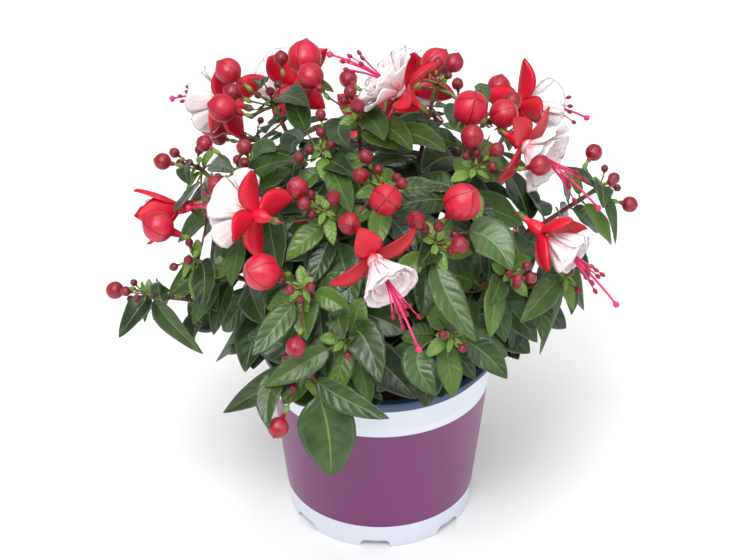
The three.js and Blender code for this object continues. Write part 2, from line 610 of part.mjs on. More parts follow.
// Pot: a thin tapered wall with a lip, on a foot with seven notches and a drain hole over each
function pot() {
  const lipFoot = POT_HEIGHT - LIP_HEIGHT;
  let body = turnedSolid([[0, 0], [FOOT_RADIUS - 0.8, 0], [slope(1), 1], [slope(lipFoot), lipFoot],
    [LIP_RADIUS, lipFoot], [LIP_RADIUS, POT_HEIGHT - 0.6], [LIP_RADIUS - 0.6, POT_HEIGHT],
    [NECK_RADIUS - WALL, POT_HEIGHT], [slope(FLOOR) - WALL, FLOOR], [PAD_RADIUS + 1.5, FLOOR],
    [PAD_RADIUS - 1, PAD_FLOOR], [0, PAD_FLOOR]], POT_SIDES);
  for (let k = 0; k < FOOT_NOTCHES; k++) {
    const azimuth = radians(NOTCH_AZIMUTH + (k * 360) / FOOT_NOTCHES - 90);
    body = body.subtract(solid(plain(notch().rotateZ(azimuth))));
    const drain = new THREE.CylinderGeometry(DRAIN_RADIUS, DRAIN_RADIUS, 3 * FLOOR, 6).rotateX(Math.PI / 2);
    drain.translate(DRAIN_REACH * Math.cos(azimuth), DRAIN_REACH * Math.sin(azimuth), 0);
    body = body.subtract(solid(plain(drain)));
  }
  return body;
}

// A channel under the foot, open outwards, with sloping sides
function notch() {
  const half = [[NOTCH_HALF_WIDTH + 1.6, -1], [NOTCH_HALF_WIDTH, NOTCH_HEIGHT - 1],
    [NOTCH_HALF_WIDTH - 2, NOTCH_HEIGHT]];
  const outline = [...half, ...half.map(([x, y]) => [-x, y]).toReversed()];
  const shape = new THREE.Shape(outline.map(([x, y]) => new THREE.Vector2(x, y)));
  const channel = new THREE.ExtrudeGeometry(shape, { depth: FOOT_RADIUS, bevelEnabled: false, steps: 1 });
  return channel.rotateX(Math.PI / 2).rotateZ(Math.PI / 2).translate(PAD_RADIUS + 4, 0, 0);
}

// Soil: it fills the pot up to a lumpy, slightly domed top, with a plain hole for each stem
function soil(shoots) {
  const inner = (z) => slope(z) - WALL - 0.6;
  const lumpy = (x, y, z) => {
    const lump = Math.sin(0.31 * x + 1.7) * Math.sin(0.37 * y + 0.4) + 0.5 * Math.sin(0.8 * x + 0.9 * y);
    return z > SOIL_TOP - 1 ? z + SOIL_LUMP * lump : z;
  };
  const low = FLOOR + GAP;
  let body = turnedSolid([[0, PAD_FLOOR + GAP], [PAD_RADIUS - 2, PAD_FLOOR + GAP], [PAD_RADIUS + 0.6, low],
    [inner(low), low], [inner(SOIL_TOP - 2), SOIL_TOP - 2], [48, SOIL_TOP - 0.5], [30, SOIL_TOP],
    [13, SOIL_TOP + 0.5], [0, SOIL_TOP + 0.8]], SOIL_SIDES, lumpy);
  for (const { curve } of shoots.values()) {
    const { x, y } = curve.getPoint(0);
    const radius = STEM_BASE + 0.6;
    const hole = new THREE.CylinderGeometry(radius, radius, 2 * STEM_DEPTH, 4).rotateX(Math.PI / 2);
    body = body.subtract(solid(plain(hole.translate(x, y, SOIL_TOP + 2))));
  }
  return body;
}

// The plant is placed thing by thing: stems, then blooms, buds and leaves, each clear of what stands already
function plant() {
  const clearance = new Clearance();
  const shoots = new Map(SHOOTS.map((shoot) => {
    const axis = shootCurve(shoot);
    return [shoot.name, { ...shoot, ...axis, nodes: leafNodes(axis), shapes: [] }];
  }));
  const nodes = [];
  for (const shoot of shoots.values()) {
    shoot.shapes.push(stemTube(shoot, shoot.nodes));
    clearance.add(shoot.shapes[0], `${shoot.name} stem`);
  }
  const wall = new THREE.CylinderGeometry(LIP_RADIUS + 1, FOOT_RADIUS + 1, POT_HEIGHT + 1, 28);
  clearance.add(plain(wall.rotateX(Math.PI / 2).translate(0, 0, POT_HEIGHT / 2 + 0.5)), 'pot');

  for (const bloom of [...BLOOMS, HALF_OPEN]) {
    const closed = bloom === HALF_OPEN;
    const parts = ({ mouth, axis, root }, grow) => ({
      calyx: [calyxTube(mouth, axis, root, grow), ...sepals(mouth, axis, bloom, grow)],
      corolla: closed ? [] : [heart(mouth, axis, grow), ...petals(mouth, axis, bloom, grow)],
      stamens: closed ? [] : stamens(mouth, axis, grow),
    });
    const place = (attempt) => placeBloom(bloom, shoots, attempt);
    const room = (b) => Object.values(parts(b, GAP)).flat();
    const found = firstClear(PLACED_TRIES, place, room, clearance, `${bloom.name} bloom`);
    if (!found) throw new Error(`no clear place for the ${bloom.name} bloom`);
    const colours = { calyx: SEPAL_RED, corolla: PETAL_WHITE, stamens: STAMEN_PINK };
    for (const [part, shapes] of Object.entries(parts(found, 0))) {
      shapes.forEach((shape) => clearance.add(shape, `${bloom.name} bloom`));
      if (shapes.length) nodes.push(node(`bloom_${bloom.name}_${part}`, join(shapes), colours[part]));
    }
  }

  const grow = (shoot, tries, place, room, shape) => {
    const found = firstClear(tries, place, room, clearance, shoot.name);
    if (!found) return;
    for (const form of shape(found)) {
      shoot.shapes.push(form);
      clearance.add(form, shoot.name, found.root);
    }
  };
  const budRoom = (b) => bud(b, GAP);
  const budShape = (b) => bud(b, 0);
  const all = [...shoots.values()];
  for (const shoot of all) {
    for (const spec of shoot.buds) {
      grow(shoot, PLACED_TRIES, (n) => placedBud(spec, shoot.nodes, n), budRoom, budShape);
    }
  }
  for (const shoot of all) {
    for (const spec of shoot.leaves) {
      grow(shoot, PLACED_TRIES, (n) => largeLeaf(spec, shoot.nodes, n), leafRoom, leafShape);
    }
  }
  for (let level = FIRST_LEAFY_NODE; level < NODE_DEPTHS.length; level++) {
    all.forEach((shoot, i) => {
      const where = shoot.nodes[level];
      if (!where || where.at.distanceTo(HEART) < BARE_HEART) return;
      for (const side of [0, 1]) {
        const draw = draws(100 * i + 10 * level + side);
        const turn = radians(shoot.turn + 90 * level + 180 * side);
        const place = (n) => pairedLeaf(where, turn, LEAF_LENGTHS[level], draw, n);
        grow(shoot, PAIR_TRIES, place, leafRoom, leafShape);
      }
    });
  }
  for (const shoot of all) nodes.push(node(`leafy_stem_${shoot.name}`, join(shoot.shapes), LEAF_GREEN));
  return { nodes, shoots };
}

const { nodes, shoots } = plant();
const pottedPlant = new THREE.Group();
pottedPlant.add(node('pot', pot(), POT_PLASTIC));
pottedPlant.add(node('soil', soil(shoots), SOIL_BROWN));
pottedPlant.add(...nodes);

export default pottedPlant;
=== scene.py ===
"""A bushy fuchsia in bloom, standing in a round nursery pot.

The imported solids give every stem, leaf, bud and bloom its place. This script repeats the rules that placed
them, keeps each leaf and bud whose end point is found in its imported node, and makes it again as a fine
surface. Young leaves, small buds, inner leaves, petals and crumbs of earth that the solids leave out are
added by the same rules, and a few leaves are placed one by one.

Lengths are millimetres until a mesh is made. +Z is up, the front is -Y, and the crown's places are an azimuth
from the front towards +X, an elevation and a reach from its heart, in degrees and millimetres.
"""

from __future__ import annotations

import logging
import math
from dataclasses import dataclass, field, replace
from enum import Enum
from typing import Callable, Iterable, Sequence

import bpy
import numpy as np
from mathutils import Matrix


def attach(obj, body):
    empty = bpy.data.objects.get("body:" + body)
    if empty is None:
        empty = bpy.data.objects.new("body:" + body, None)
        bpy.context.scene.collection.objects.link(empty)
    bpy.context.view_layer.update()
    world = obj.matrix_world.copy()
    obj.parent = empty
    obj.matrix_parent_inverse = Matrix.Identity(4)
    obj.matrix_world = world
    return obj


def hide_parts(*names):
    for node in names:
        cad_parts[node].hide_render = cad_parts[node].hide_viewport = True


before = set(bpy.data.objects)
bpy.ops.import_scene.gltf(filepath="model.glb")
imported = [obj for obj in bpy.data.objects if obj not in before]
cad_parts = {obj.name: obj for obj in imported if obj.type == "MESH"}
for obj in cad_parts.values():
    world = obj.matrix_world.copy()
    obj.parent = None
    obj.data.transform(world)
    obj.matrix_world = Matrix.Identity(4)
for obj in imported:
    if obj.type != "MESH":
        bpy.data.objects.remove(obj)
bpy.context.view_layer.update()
LOG = logging.getLogger("potted_fuchsia")

Array = np.ndarray
Colour = tuple[float, float, float, float]
Tree, Node, Socket = bpy.types.NodeTree, bpy.types.Node, bpy.types.NodeSocket
Material, Thing = bpy.types.Material, bpy.types.Object

MM = 0.001
UP = np.array([0.0, 0.0, 1.0])
DOWN = -UP
HEART = np.array([0.0, 0.0, 130.0])

# Pot and soil
POT_HEIGHT, LIP_HEIGHT, LIP_RADIUS, NECK_RADIUS, FOOT_RADIUS = 107.0, 3.0, 65.0, 61.8, 50.2
WALL, FLOOR, PAD_RADIUS, PAD_FLOOR = 1.4, 6.4, 28.0, 1.8
FOOT_NOTCHES, NOTCH_AZIMUTH, NOTCH_HALF_WIDTH, NOTCH_HEIGHT = 7, -3.0, 7.4, 5.0
DRAIN_RADIUS, DRAIN_REACH = 3.2, 38.0
BAND_LOW, BAND_HIGH = 15.5, 81.8
SOIL_TOP, STEM_DEPTH, BED_LIGHT = 97.0, 11.0, 0.15
WHITE_STONE = (47.5, -26.0, 2.3)

# Stems and leaves
STEM_BASE, STEM_TIP = 1.9, 1.05
NODE_DEPTHS = (4.0, 13.0, 26.0, 42.0)
LEAF_LENGTHS = (15.0, 26.0, 40.0, 47.0)
INNER_DEPTHS = (57.0, 71.0, 85.0)
FILL_DEPTHS, FILL_LENGTHS = (20.0, 34.0, 49.5, 64.0, 78.0), (28.0, 38.0, 44.0, 42.0, 38.0)
# Filling leaves take lower tones the deeper they lie in the crown: a darker green that is painted shade of the
# crown's inside.
FILL_SHADE_TONES = (0.45, 0.34, 0.24, 0.14, 0.08)
FILL_LOWEST, EXTRA_TONE = 150.0, 0.34
FIRST_SOLID_LEVEL, LOWEST_TIP = 2, 126.0
LEAF_SLENDERNESS = 0.47
LEAF_BASE_REACH, LEAF_TIP_REACH = 114.0, 124.0
PAIR_TRIES = 9
YOUTHS, YOUNG_TONE = (0.75, 0.45), 0.8
MATCH = 0.06
LIGHT = np.array([0.0, -0.8, 0.35])
SHADED = 0.35

# Blooms
SEPAL_LENGTH, SEPAL_WIDTH, PETAL_LENGTH, PETAL_WIDTH, STYLE_LENGTH = 24.0, 14.0, 20.5, 19.0, 42.0
SEPAL_LEANS = (0.0, -14.0, 6.0, -8.0)
PETAL_SEAT, OVARY_BACK, GAP = 3.0, 17.0, 0.35


def srgb(red: int, green: int, blue: int) -> Colour:
    """A colour given by its display values, as the linear values that a shader takes.

    Args:
        red, green, blue: display values from 0 to 255.

    Returns:
        Linear red, green, blue and an alpha of 1.
    """
    linear = [(c / 255 / 12.92 if c < 11 else ((c / 255 + 0.055) / 1.055) ** 2.4) for c in (red, green, blue)]
    return (*linear, 1.0)


class Slot(Enum):
    """The material slots."""

    POT = "pot"
    SOIL = "soil"
    LEAFY_STEM = "leafy_stem"
    CALYX = "calyx"
    COROLLA = "corolla"
    STAMENS = "stamens"


# Plans


@dataclass(frozen=True)
class ShootPlan:
    """Where one leafy stem ends and what it bears.

    Buds are azimuth, elevation, reach and radius. Large leaves are azimuth and elevation of the blade's base,
    the same of its tip, the width, and how far its base and its tip stand out from the crown.
    """

    name: str
    az: float
    el: float
    reach: float
    turn: float
    buds: tuple[tuple[float, ...], ...] = ()
    leaves: tuple[tuple[float, ...], ...] = ()
    small_buds: tuple[tuple[float, ...], ...] = ()


@dataclass(frozen=True)
class BloomPlan:
    """The stem that bears a bloom, the place of its mouth, the way it faces and the turn of its sepals.

    In degrees too are how far the petals open, and how far the sepals lean back and curl on.
    """

    name: str
    on: str
    at: tuple[float, float, float]
    faces: tuple[float, float, float]
    turn: float
    open: float = 0.0
    lean: float = 84.0
    curl: float = 32.0


SHOOTS = (
    ShootPlan("top_left", -128, 53, 122, 20,
              ((-123, 49, 150, 7), (-107, 50, 135, 7.5), (-146, 58, 136, 9.2), (-117, 50, 137, 4.7),
               (-135, 58, 140, 3.8)), ((-128, 48, -131, 53, 13),)),
    ShootPlan("left_high", -105, 34, 122, 60, ((-104, 30, 138, 4.6),), ((-87, 38, -70, 35, 10),),
              ((-100, 36, 136, 2.8),)),
    ShootPlan("left_upper", -72, 50, 119, 10, ((-95, 45, 130, 4.3), (-70, 56, 131, 4.1), (-64, 46, 130, 4.7)),
              ((-77, 54, -48, 62, 14), (-52, 36, -43, 29, 11))),
    ShootPlan("left_mid", -65, 27, 119, 45, ((-49, 38, 130, 4.1), (-69, 31, 138, 8)),
              ((-64, 25, -66, 16, 14), (-61, 29, -50, 19, 15), (-73, 23, -66, 14, 12, -2, -12),
               (-70, 20, -60, 14, 14, -7, -20))),
    ShootPlan("left_low", -80, 8, 127, 30, ((-86, 5, 142, 4.8),),
              ((-78, 8, -75, 0, 15, 14, 18), (-79, 4, -66, -4, 13, 7, -22), (-79, 10, -72, 14, 9, 12, -6)),
              ((-81, 8, 137, 2.7),)),
    ShootPlan("front_low", -22, 12, 108, 30, ((-23, 1, 130, 5.3),),
              ((-25, 11, -40, -3, 15), (-15, 8, 2, 5, 14), (-12, 4, -12, -14, 30), (-31, 12, -24, 2, 13))),
    ShootPlan("front_left", -24, 34, 116, 75, ((-33, 35, 131, 9.2), (-20, 21, 130, 5.1)),
              ((-25, 31, -19, 22, 17), (-26, 27, -30, 17, 14)), ((-24, 33, 130, 2.6),)),
    ShootPlan("front_mid", -10, 22, 108, 15, (),
              ((-6, 31, 0, 14, 19), (-15, 33, -9, 24, 13), (-17, 18, -28, 9, 14))),
    ShootPlan("centre_left", -24, 54, 116, 50,
              ((-33, 55, 131, 5.4), (-10, 49, 130, 5.6), (-28, 52, 130, 3.5), (-18, 55, 130, 3.6))),
    ShootPlan("centre", 2, 62, 117, 5, ((2, 55, 131, 8), (-9, 61, 130, 4.1), (-8, 66, 130, 3.5)),
              ((12, 62, 28, 58, 11),), ((9, 59, 130, 3.2),)),
    ShootPlan("upper_left", -46, 69, 117, 35, ((-58, 74, 129, 2.8),), ((-94, 68, -130, 61, 13),),
              ((-42, 62, 129, 2.7),)),
    ShootPlan("crown", -70, 84, 120, 70, ((-125, 70, 130, 7), (-35, 81, 129, 3.8), (-75, 83, 130, 3.4)),
              ((-82, 76, -31, 70, 13),)),
    ShootPlan("top_right", 150, 60, 120, 25, ((146, 58, 133, 5.3),), (), ((150, 62, 131, 2.7),)),
    ShootPlan("right_top", 108, 63, 117, 65, ((81, 69, 130, 9.1), (89, 61, 131, 7.5), (109, 56, 131, 4.8)),
              (), ((115, 70, 129, 3.2),)),
    ShootPlan("right_upper", 55, 60, 117, 40, ((57, 65, 130, 5.9), (62, 50, 141, 5.4), (62, 59, 129, 3.8)),
              ((70, 58, 52, 54, 11),)),
    ShootPlan("centre_right", 20, 46, 116, 80, ((30, 52, 131, 9.4), (12, 50, 130, 4.8), (24, 43, 130, 4.6)),
              ((22, 47, 11, 40, 12), (16, 37, 24, 21, 16), (46, 50, 39, 34, 22)), ((19, 48, 130, 2.7),)),
    ShootPlan("right_mid", 42, 33, 116, 55, (), ((41, 33, 29, 28, 12),),
              ((38, 32, 130, 3), (42, 31, 130, 2.9))),
    ShootPlan("right_low", 62, 24, 118, 105, (),
              ((57, 24, 37, 22, 15), (68, 19, 63, 12, 9, 0, -11), (58, 23, 59, -1, 9, 1, -27))),
    ShootPlan("right_far", 95, 29, 134, 35, ((105, 32, 139, 4.6), (96, 21, 143, 4.3)),
              ((91, 34, 84, 29, 12, 27, 9), (93, 27, 88, 17, 8, 23, 6), (94, 32, 86, 43, 8, 20, 2)),
              ((99, 27, 141, 3.2),)),
    ShootPlan("front_right", 20, 22, 112, 0, (), ((3, 22, 13, 10, 16), (27, 20, 31, 10, 15))),
    ShootPlan("back_left", -142, 24, 124, 30, ((-132, 26, 139, 7.4), (-136, 20, 138, 4.6)),
              ((-138, 12, -126, -3, 20),)),
    ShootPlan("back", 178, 38, 123, 50, ((158, 52, 132, 8.2), (-171, 33, 136, 5.2)),
              ((180, 18, 172, 2, 21),)),
    ShootPlan("back_right", 140, 27, 124, 70, ((144, 36, 138, 6.6), (147, 22, 138, 4.4)),
              ((142, 14, 156, 0, 20),)),
    ShootPlan("back_low", -172, 6, 118, 10, ((-165, 10, 132, 5.4),),
              ((-160, 4, -150, -9, 19), (176, 2, 190, -10, 18))),
)

BLOOMS = (
    BloomPlan("top_left", "top_left", (-128, 40, 134), (-0.68, 0.62, -0.1), 75, 45),
    BloomPlan("crown", "top_right", (84, 85, 127), (-0.78, 0.12, 0.62), 20, 52),
    BloomPlan("right_upper", "right_upper", (80, 54, 127), (0.78, -0.54, -0.26), 30, 44),
    BloomPlan("right", "right_mid", (54, 38, 128), (0.74, -0.5, -0.36), 10, 9, 77, -42),
    BloomPlan("left", "centre_left", (-44, 46, 129), (-0.7, 0.6, -0.1), 88, 48),
    BloomPlan("centre", "centre", (-2, 42, 132), (0.46, -0.78, -0.4), 25, 24),
    BloomPlan("back_left", "back_left", (-152, 41, 130), (-0.5, 0.8, -0.2), 50, 30),
    BloomPlan("back_upper", "back", (170, 38, 124), (0.15, 0.95, -0.05), 5, 40),
    BloomPlan("back_right", "back_right", (128, 42, 130), (0.8, 0.5, -0.25), 80, 20),
    BloomPlan("back_low", "back_low", (-178, 18, 130), (0.1, 0.85, -0.5), 35, 26),
)
EXTRA_LEAVES = (
    (-122, 58, -119, 57, 9, 30, 7), (-94, 66, -52, 63, 15, 1, 0), (-121, 61, -89, 73, 14, 16, 0),
    (-80, 75, -21, 70, 15, 0, 0), (-81, 55, -49, 64, 11, 0, -0), (-95, 56, -61, 61, 12, 1, -0),
    (-90, 88, 3, 73, 15, 0, 0), (-87, 37, -64, 37, 14, 4, 0), (-98, 37, -87, 37, 10, 22, -0),
    (39, 87, 21, 69, 14, 0, 0), (116, 71, 61, 70, 12, 6, 0), (64, 80, 40, 66, 14, 0, -0),
    (127, 62, 107, 62, 9, 23, 0), (-49, 70, -12, 62, 13, 0, -0), (-77, 50, -49, 51, 12, 0, -0),
    (-95, 44, -70, 50, 11, 7, -0), (-136, 62, -112, 78, 10, 17, 0), (-26, 64, -11, 53, 13, 0, -0),
)
TWISTED_LEAF = (-64, 10, -75, -15, 10, -44, -30)
HALF_OPEN = BloomPlan("half_open", "left_mid", (-79, 33, 128), (-0.95, -0.2, -0.1), 30, 0, 43, -28)


# Directions and curves


def vec(x: float, y: float, z: float) -> Array:
    """A point or direction."""
    return np.array([x, y, z], float)


def unit(v: Array) -> Array:
    """The same directions with a length of 1."""
    return v / np.linalg.norm(v, axis=-1, keepdims=True)


def square(a: Array, n: Array) -> Array:
    """The part of a that is square to the unit directions n, with a length of 1."""
    return unit(a - (a * n).sum(-1, keepdims=True) * n)


def turned(a: Array, b: Array, angle: float | Array) -> Array:
    """The direction at an angle from a towards b."""
    return a * np.cos(angle) + b * np.sin(angle)


def crown(az: float, el: float, reach: float) -> Array:
    """A point of the crown, given from its heart."""
    a, e = math.radians(az), math.radians(el)
    return HEART + reach * vec(math.cos(e) * math.sin(a), -math.cos(e) * math.cos(a), math.sin(e))


def arc_point(a: Array, b: Array, c: Array, t: float | Array) -> Array:
    """The point at t of the quadratic arc from a by b to c."""
    return (1 - t) ** 2 * a + 2 * t * (1 - t) * b + t * t * c


def arc_way(a: Array, b: Array, c: Array, t: float | Array) -> Array:
    """The direction at t of the quadratic arc from a by b to c."""
    return unit((1 - t) * (b - a) + t * (c - b))


def through(knots: Sequence[float] | Array, values: Sequence | Array, at: Array) -> Array:
    """A smooth curve through values: cubic pieces whose slope at a knot is that of its neighbours.

    Args:
        knots: rising positions.
        values: a number or a point at each knot.
        at: the positions wanted.

    Returns:
        The curve's values at those positions.
    """
    k, y = np.asarray(knots, float), np.asarray(values, float)
    slope = np.gradient(y, k, axis=0)
    i = np.clip(np.searchsorted(k, at, side="right") - 1, 0, len(k) - 2)
    h, u = k[i + 1] - k[i], (at - k[i]) / (k[i + 1] - k[i])
    if y.ndim > 1:
        h, u = h[:, None], u[:, None]
    return ((2 * u**3 - 3 * u**2 + 1) * y[i] + (u**3 - 2 * u**2 + u) * h * slope[i]
            + (3 * u**2 - 2 * u**3) * y[i + 1] + (u**3 - u**2) * h * slope[i + 1])


def shown(place: Array) -> Array:
    """Where a leaf turns its face: outwards, and to the light too where the crown doesn't shade it."""
    outward = unit(place - HEART)
    return outward + LIGHT if outward[1] < SHADED else outward


def oval(t: Array) -> Array:
    """Half the width of a pointed oval blade, as a share of its widest."""
    return 2.72 * t**0.62 * (1 - t) ** 0.85


class Draws:
    """A repeatable stream of draws from 0 to 1, the same as the one that placed the solids."""

    MASK = 0xFFFFFFFF

    def __init__(self, seed: int) -> None:
        """Starts the stream at a seed."""
        self.state = seed & self.MASK

    def __call__(self) -> float:
        """The next draw."""
        self.state = (self.state + 0x6D2B79F5) & self.MASK
        t = ((self.state ^ (self.state >> 15)) * (1 | self.state)) & self.MASK
        t = ((t + ((t ^ (t >> 7)) * (61 | t))) & self.MASK) ^ t
        return (t ^ (t >> 14)) / 4294967296


# Surfaces


@dataclass
class Surface:
    """One closed surface: points, faces, a pattern place at each face corner, and a tint at each point."""

    points: Array
    quads: Array
    quad_uv: Array
    tint: Array
    tris: Array = field(default_factory=lambda: np.zeros((0, 3), int))
    tri_uv: Array = field(default_factory=lambda: np.zeros((0, 3, 2)))


def grid_quads(grid: Array) -> Array:
    """The corners of each cell of a grid of point numbers, counted so that a column by a row is outwards."""
    return np.stack([grid[:-1, :-1], grid[:-1, 1:], grid[1:, 1:], grid[1:, :-1]], -1).reshape(-1, 4)


def blades(upper: Array, lower: Array, uv: Array, tint: Array) -> Surface:
    """Closed thin blades from an upper and a lower sheet that share their rim.

    Args:
        upper: points of the upper sheets, as blades, rows, columns and coordinates.
        lower: the same for the lower sheets; their rims aren't used.
        uv: pattern place of each row and column.
        tint: first and second tint of each blade. The third tells the lower sheet.

    Returns:
        All the blades as one surface.
    """
    count, rows, cols = upper.shape[:3]
    top = np.arange(rows * cols).reshape(rows, cols)
    low = top.copy()
    low[1:-1, 1:-1] = rows * cols + np.arange((rows - 2) * (cols - 2)).reshape(rows - 2, cols - 2)
    quads = np.concatenate([grid_quads(top), grid_quads(low)[:, ::-1]])
    inner = lower[:, 1:-1, 1:-1].reshape(count, -1, 3)
    points = np.concatenate([upper.reshape(count, -1, 3), inner], 1)
    flat_uv = np.concatenate([uv.reshape(-1, 2), uv[1:-1, 1:-1].reshape(-1, 2)])
    per_blade = points.shape[1]
    upside = np.full((rows, cols), 0.5)
    upside[1:-1, 1:-1] = 0
    under = np.concatenate([upside.ravel(), np.ones((rows - 2) * (cols - 2))])
    tints = np.empty((count, per_blade, 4))
    tints[:, :, :2] = tint[:, None, :]
    tints[:, :, 2] = under
    tints[:, :, 3] = 1
    step = (np.arange(count) * per_blade)[:, None, None]
    return Surface(points.reshape(-1, 3), (quads[None] + step).reshape(-1, 4),
                   np.tile(flat_uv[quads], (count, 1, 1)), tints.reshape(-1, 4))


def tube(path: Array, radii: Array, sides: int, tint: Array, along: Array | None = None,
         shape: Array | None = None) -> Surface:
    """A round profile carried along a path and closed by a pole at each end.

    Each ring lies square to the path; its zero is square to the plane that the path keeps closest to.

    Args:
        path: the rings' middles.
        radii: a radius for each ring.
        sides: points in a ring.
        tint: three tints for each ring, or for all.
        along: pattern place of each ring along the path, from 0 to 1 if not given.
        shape: a factor on the radius for each ring and side.

    Returns:
        The closed tube.
    """
    rings = len(path)
    way = unit(np.gradient(path, axis=0))
    plane = np.linalg.svd(way - way.mean(0), full_matrices=False)[2][-1]
    if abs(plane @ way[0]) > 0.9:
        plane = np.roll(plane, 1)
    side = square(np.broadcast_to(plane, way.shape), way)
    other = np.cross(way, side)
    angle = np.arange(sides) * (2 * math.pi / sides)
    spoke = side[:, None] * np.cos(angle)[None, :, None] + other[:, None] * np.sin(angle)[None, :, None]
    reach = np.broadcast_to(radii[:, None], (rings, sides)) * (1 if shape is None else shape)
    points = np.concatenate([(path[:, None] + spoke * reach[..., None]).reshape(-1, 3), path[[0, -1]]])
    grid = np.arange(rings * sides).reshape(rings, sides)
    quads = grid_quads(np.concatenate([grid, grid[:, :1]], 1))
    v = np.linspace(0, 1, rings) if along is None else along
    u = np.arange(sides + 1) / sides
    uv = np.stack(np.broadcast_arrays(u[None, :], v[:, None]), -1)
    cells = np.arange(rings * (sides + 1)).reshape(rings, sides + 1)
    ends = []
    for row, pole, turn in ((grid[0], rings * sides, -1), (grid[-1], rings * sides + 1, 1)):
        ends.append(np.stack([row, np.roll(row, -1), np.full(sides, pole)], 1)[:, ::turn])
    edge = np.stack([u[:-1], u[1:], (u[:-1] + u[1:]) / 2], 1)
    end_uv = [np.stack([edge, np.full((sides, 3), v[i])], -1)[:, ::turn] for i, turn in ((0, -1), (-1, 1))]
    rgb = np.broadcast_to(tint, (rings, 3))
    ring_tint = np.repeat(rgb, sides, 0)
    tints = np.concatenate([ring_tint, rgb[[0, -1]]])
    return Surface(points, quads, uv.reshape(-1, 2)[grid_quads(cells)],
                   np.concatenate([tints, np.ones((len(tints), 1))], 1), np.concatenate(ends),
                   np.concatenate(end_uv))


def capped(rings: Array, poles: Array, light: float = 0.0) -> Surface:
    """Rings joined in turn and closed by a pole at each end, with no pattern.

    Args:
        rings: points as rings, sides and coordinates, counted so that a side by a ring is outwards.
        poles: the middles of the first and the last ring.
        light: the first tint. The others are 0.

    Returns:
        The closed surface.
    """
    sides, count = rings.shape[1], rings.shape[0] * rings.shape[1]
    grid = np.arange(count).reshape(rings.shape[:2])
    quads = grid_quads(np.concatenate([grid, grid[:, :1]], 1))
    ends = [np.stack([grid[k], np.roll(grid[k], -1), np.full(sides, pole)], 1)[:, ::turn]
            for k, pole, turn in ((0, count, -1), (-1, count + 1, 1))]
    tint = np.tile([light, 0, 0, 1], (count + 2, 1))
    return Surface(np.concatenate([rings.reshape(-1, 3), poles]), quads, np.zeros((len(quads), 4, 2)), tint,
                   np.concatenate(ends), np.zeros((2 * sides, 3, 2)))


@dataclass
class Patchwork:
    """Surfaces collected for one piece."""

    surfaces: list[Surface] = field(default_factory=list)

    def add(self, *surfaces: Surface) -> None:
        """Takes more surfaces into the piece."""
        self.surfaces.extend(surfaces)

    def piece(self, name: str, finish: Material, slot: Slot, *nodes: str) -> Thing:
        """Makes the piece, which rides on the plant and stands for the named nodes.

        Args:
            name: the piece's name.
            finish: its material.
            slot: not used.
            nodes: the CAD nodes that it replaces.

        Returns:
            The new object, with its place in its mesh.
        """
        counts = [len(s.points) for s in self.surfaces]
        starts = np.concatenate([[0], np.cumsum(counts)[:-1]]).astype(int)
        points = np.concatenate([s.points for s in self.surfaces]) * MM
        quads = np.concatenate([s.quads + k for s, k in zip(self.surfaces, starts)])
        tris = np.concatenate([s.tris + k for s, k in zip(self.surfaces, starts)])
        corners = np.concatenate([quads.ravel(), tris.ravel()])
        sizes = np.concatenate([np.full(len(quads), 4), np.full(len(tris), 3)])
        uv = np.concatenate([s.quad_uv.reshape(-1, 2) for s in self.surfaces]
                            + [s.tri_uv.reshape(-1, 2) for s in self.surfaces])
        mesh = bpy.data.meshes.new(name)
        mesh.vertices.add(len(points))
        mesh.vertices.foreach_set("co", points.astype(np.float32).ravel())
        mesh.loops.add(len(corners))
        mesh.loops.foreach_set("vertex_index", corners.astype(np.int32))
        mesh.polygons.add(len(sizes))
        mesh.polygons.foreach_set("loop_start", np.concatenate([[0], np.cumsum(sizes)[:-1]]).astype(np.int32))
        mesh.polygons.foreach_set("use_smooth", np.ones(len(sizes), bool))
        mesh.uv_layers.new(name="UVMap").data.foreach_set("uv", uv.astype(np.float32).ravel())
        tint = mesh.attributes.new("tint", "FLOAT_COLOR", "POINT")
        colours = np.concatenate([s.tint for s in self.surfaces]).astype(np.float32)
        tint.data.foreach_set("color", colours.ravel())
        mesh.update(calc_edges=True)
        mesh.validate()
        return stand(bpy.data.objects.new(name, mesh), finish, slot, *nodes)


def stand(piece: Thing, finish: Material, slot: Slot, *nodes: str) -> Thing:
    """Gives a piece its finish, puts it on the plant's body and lets it stand for CAD nodes."""
    if piece.name not in bpy.context.scene.collection.objects:
        bpy.context.scene.collection.objects.link(piece)
    piece.data.materials.clear()
    piece.data.materials.append(finish)
    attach(piece, "root")
    if nodes:
        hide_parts(*nodes)
    LOG.info("%s: %d faces", piece.name, len(piece.data.polygons))
    return piece


# Finishes


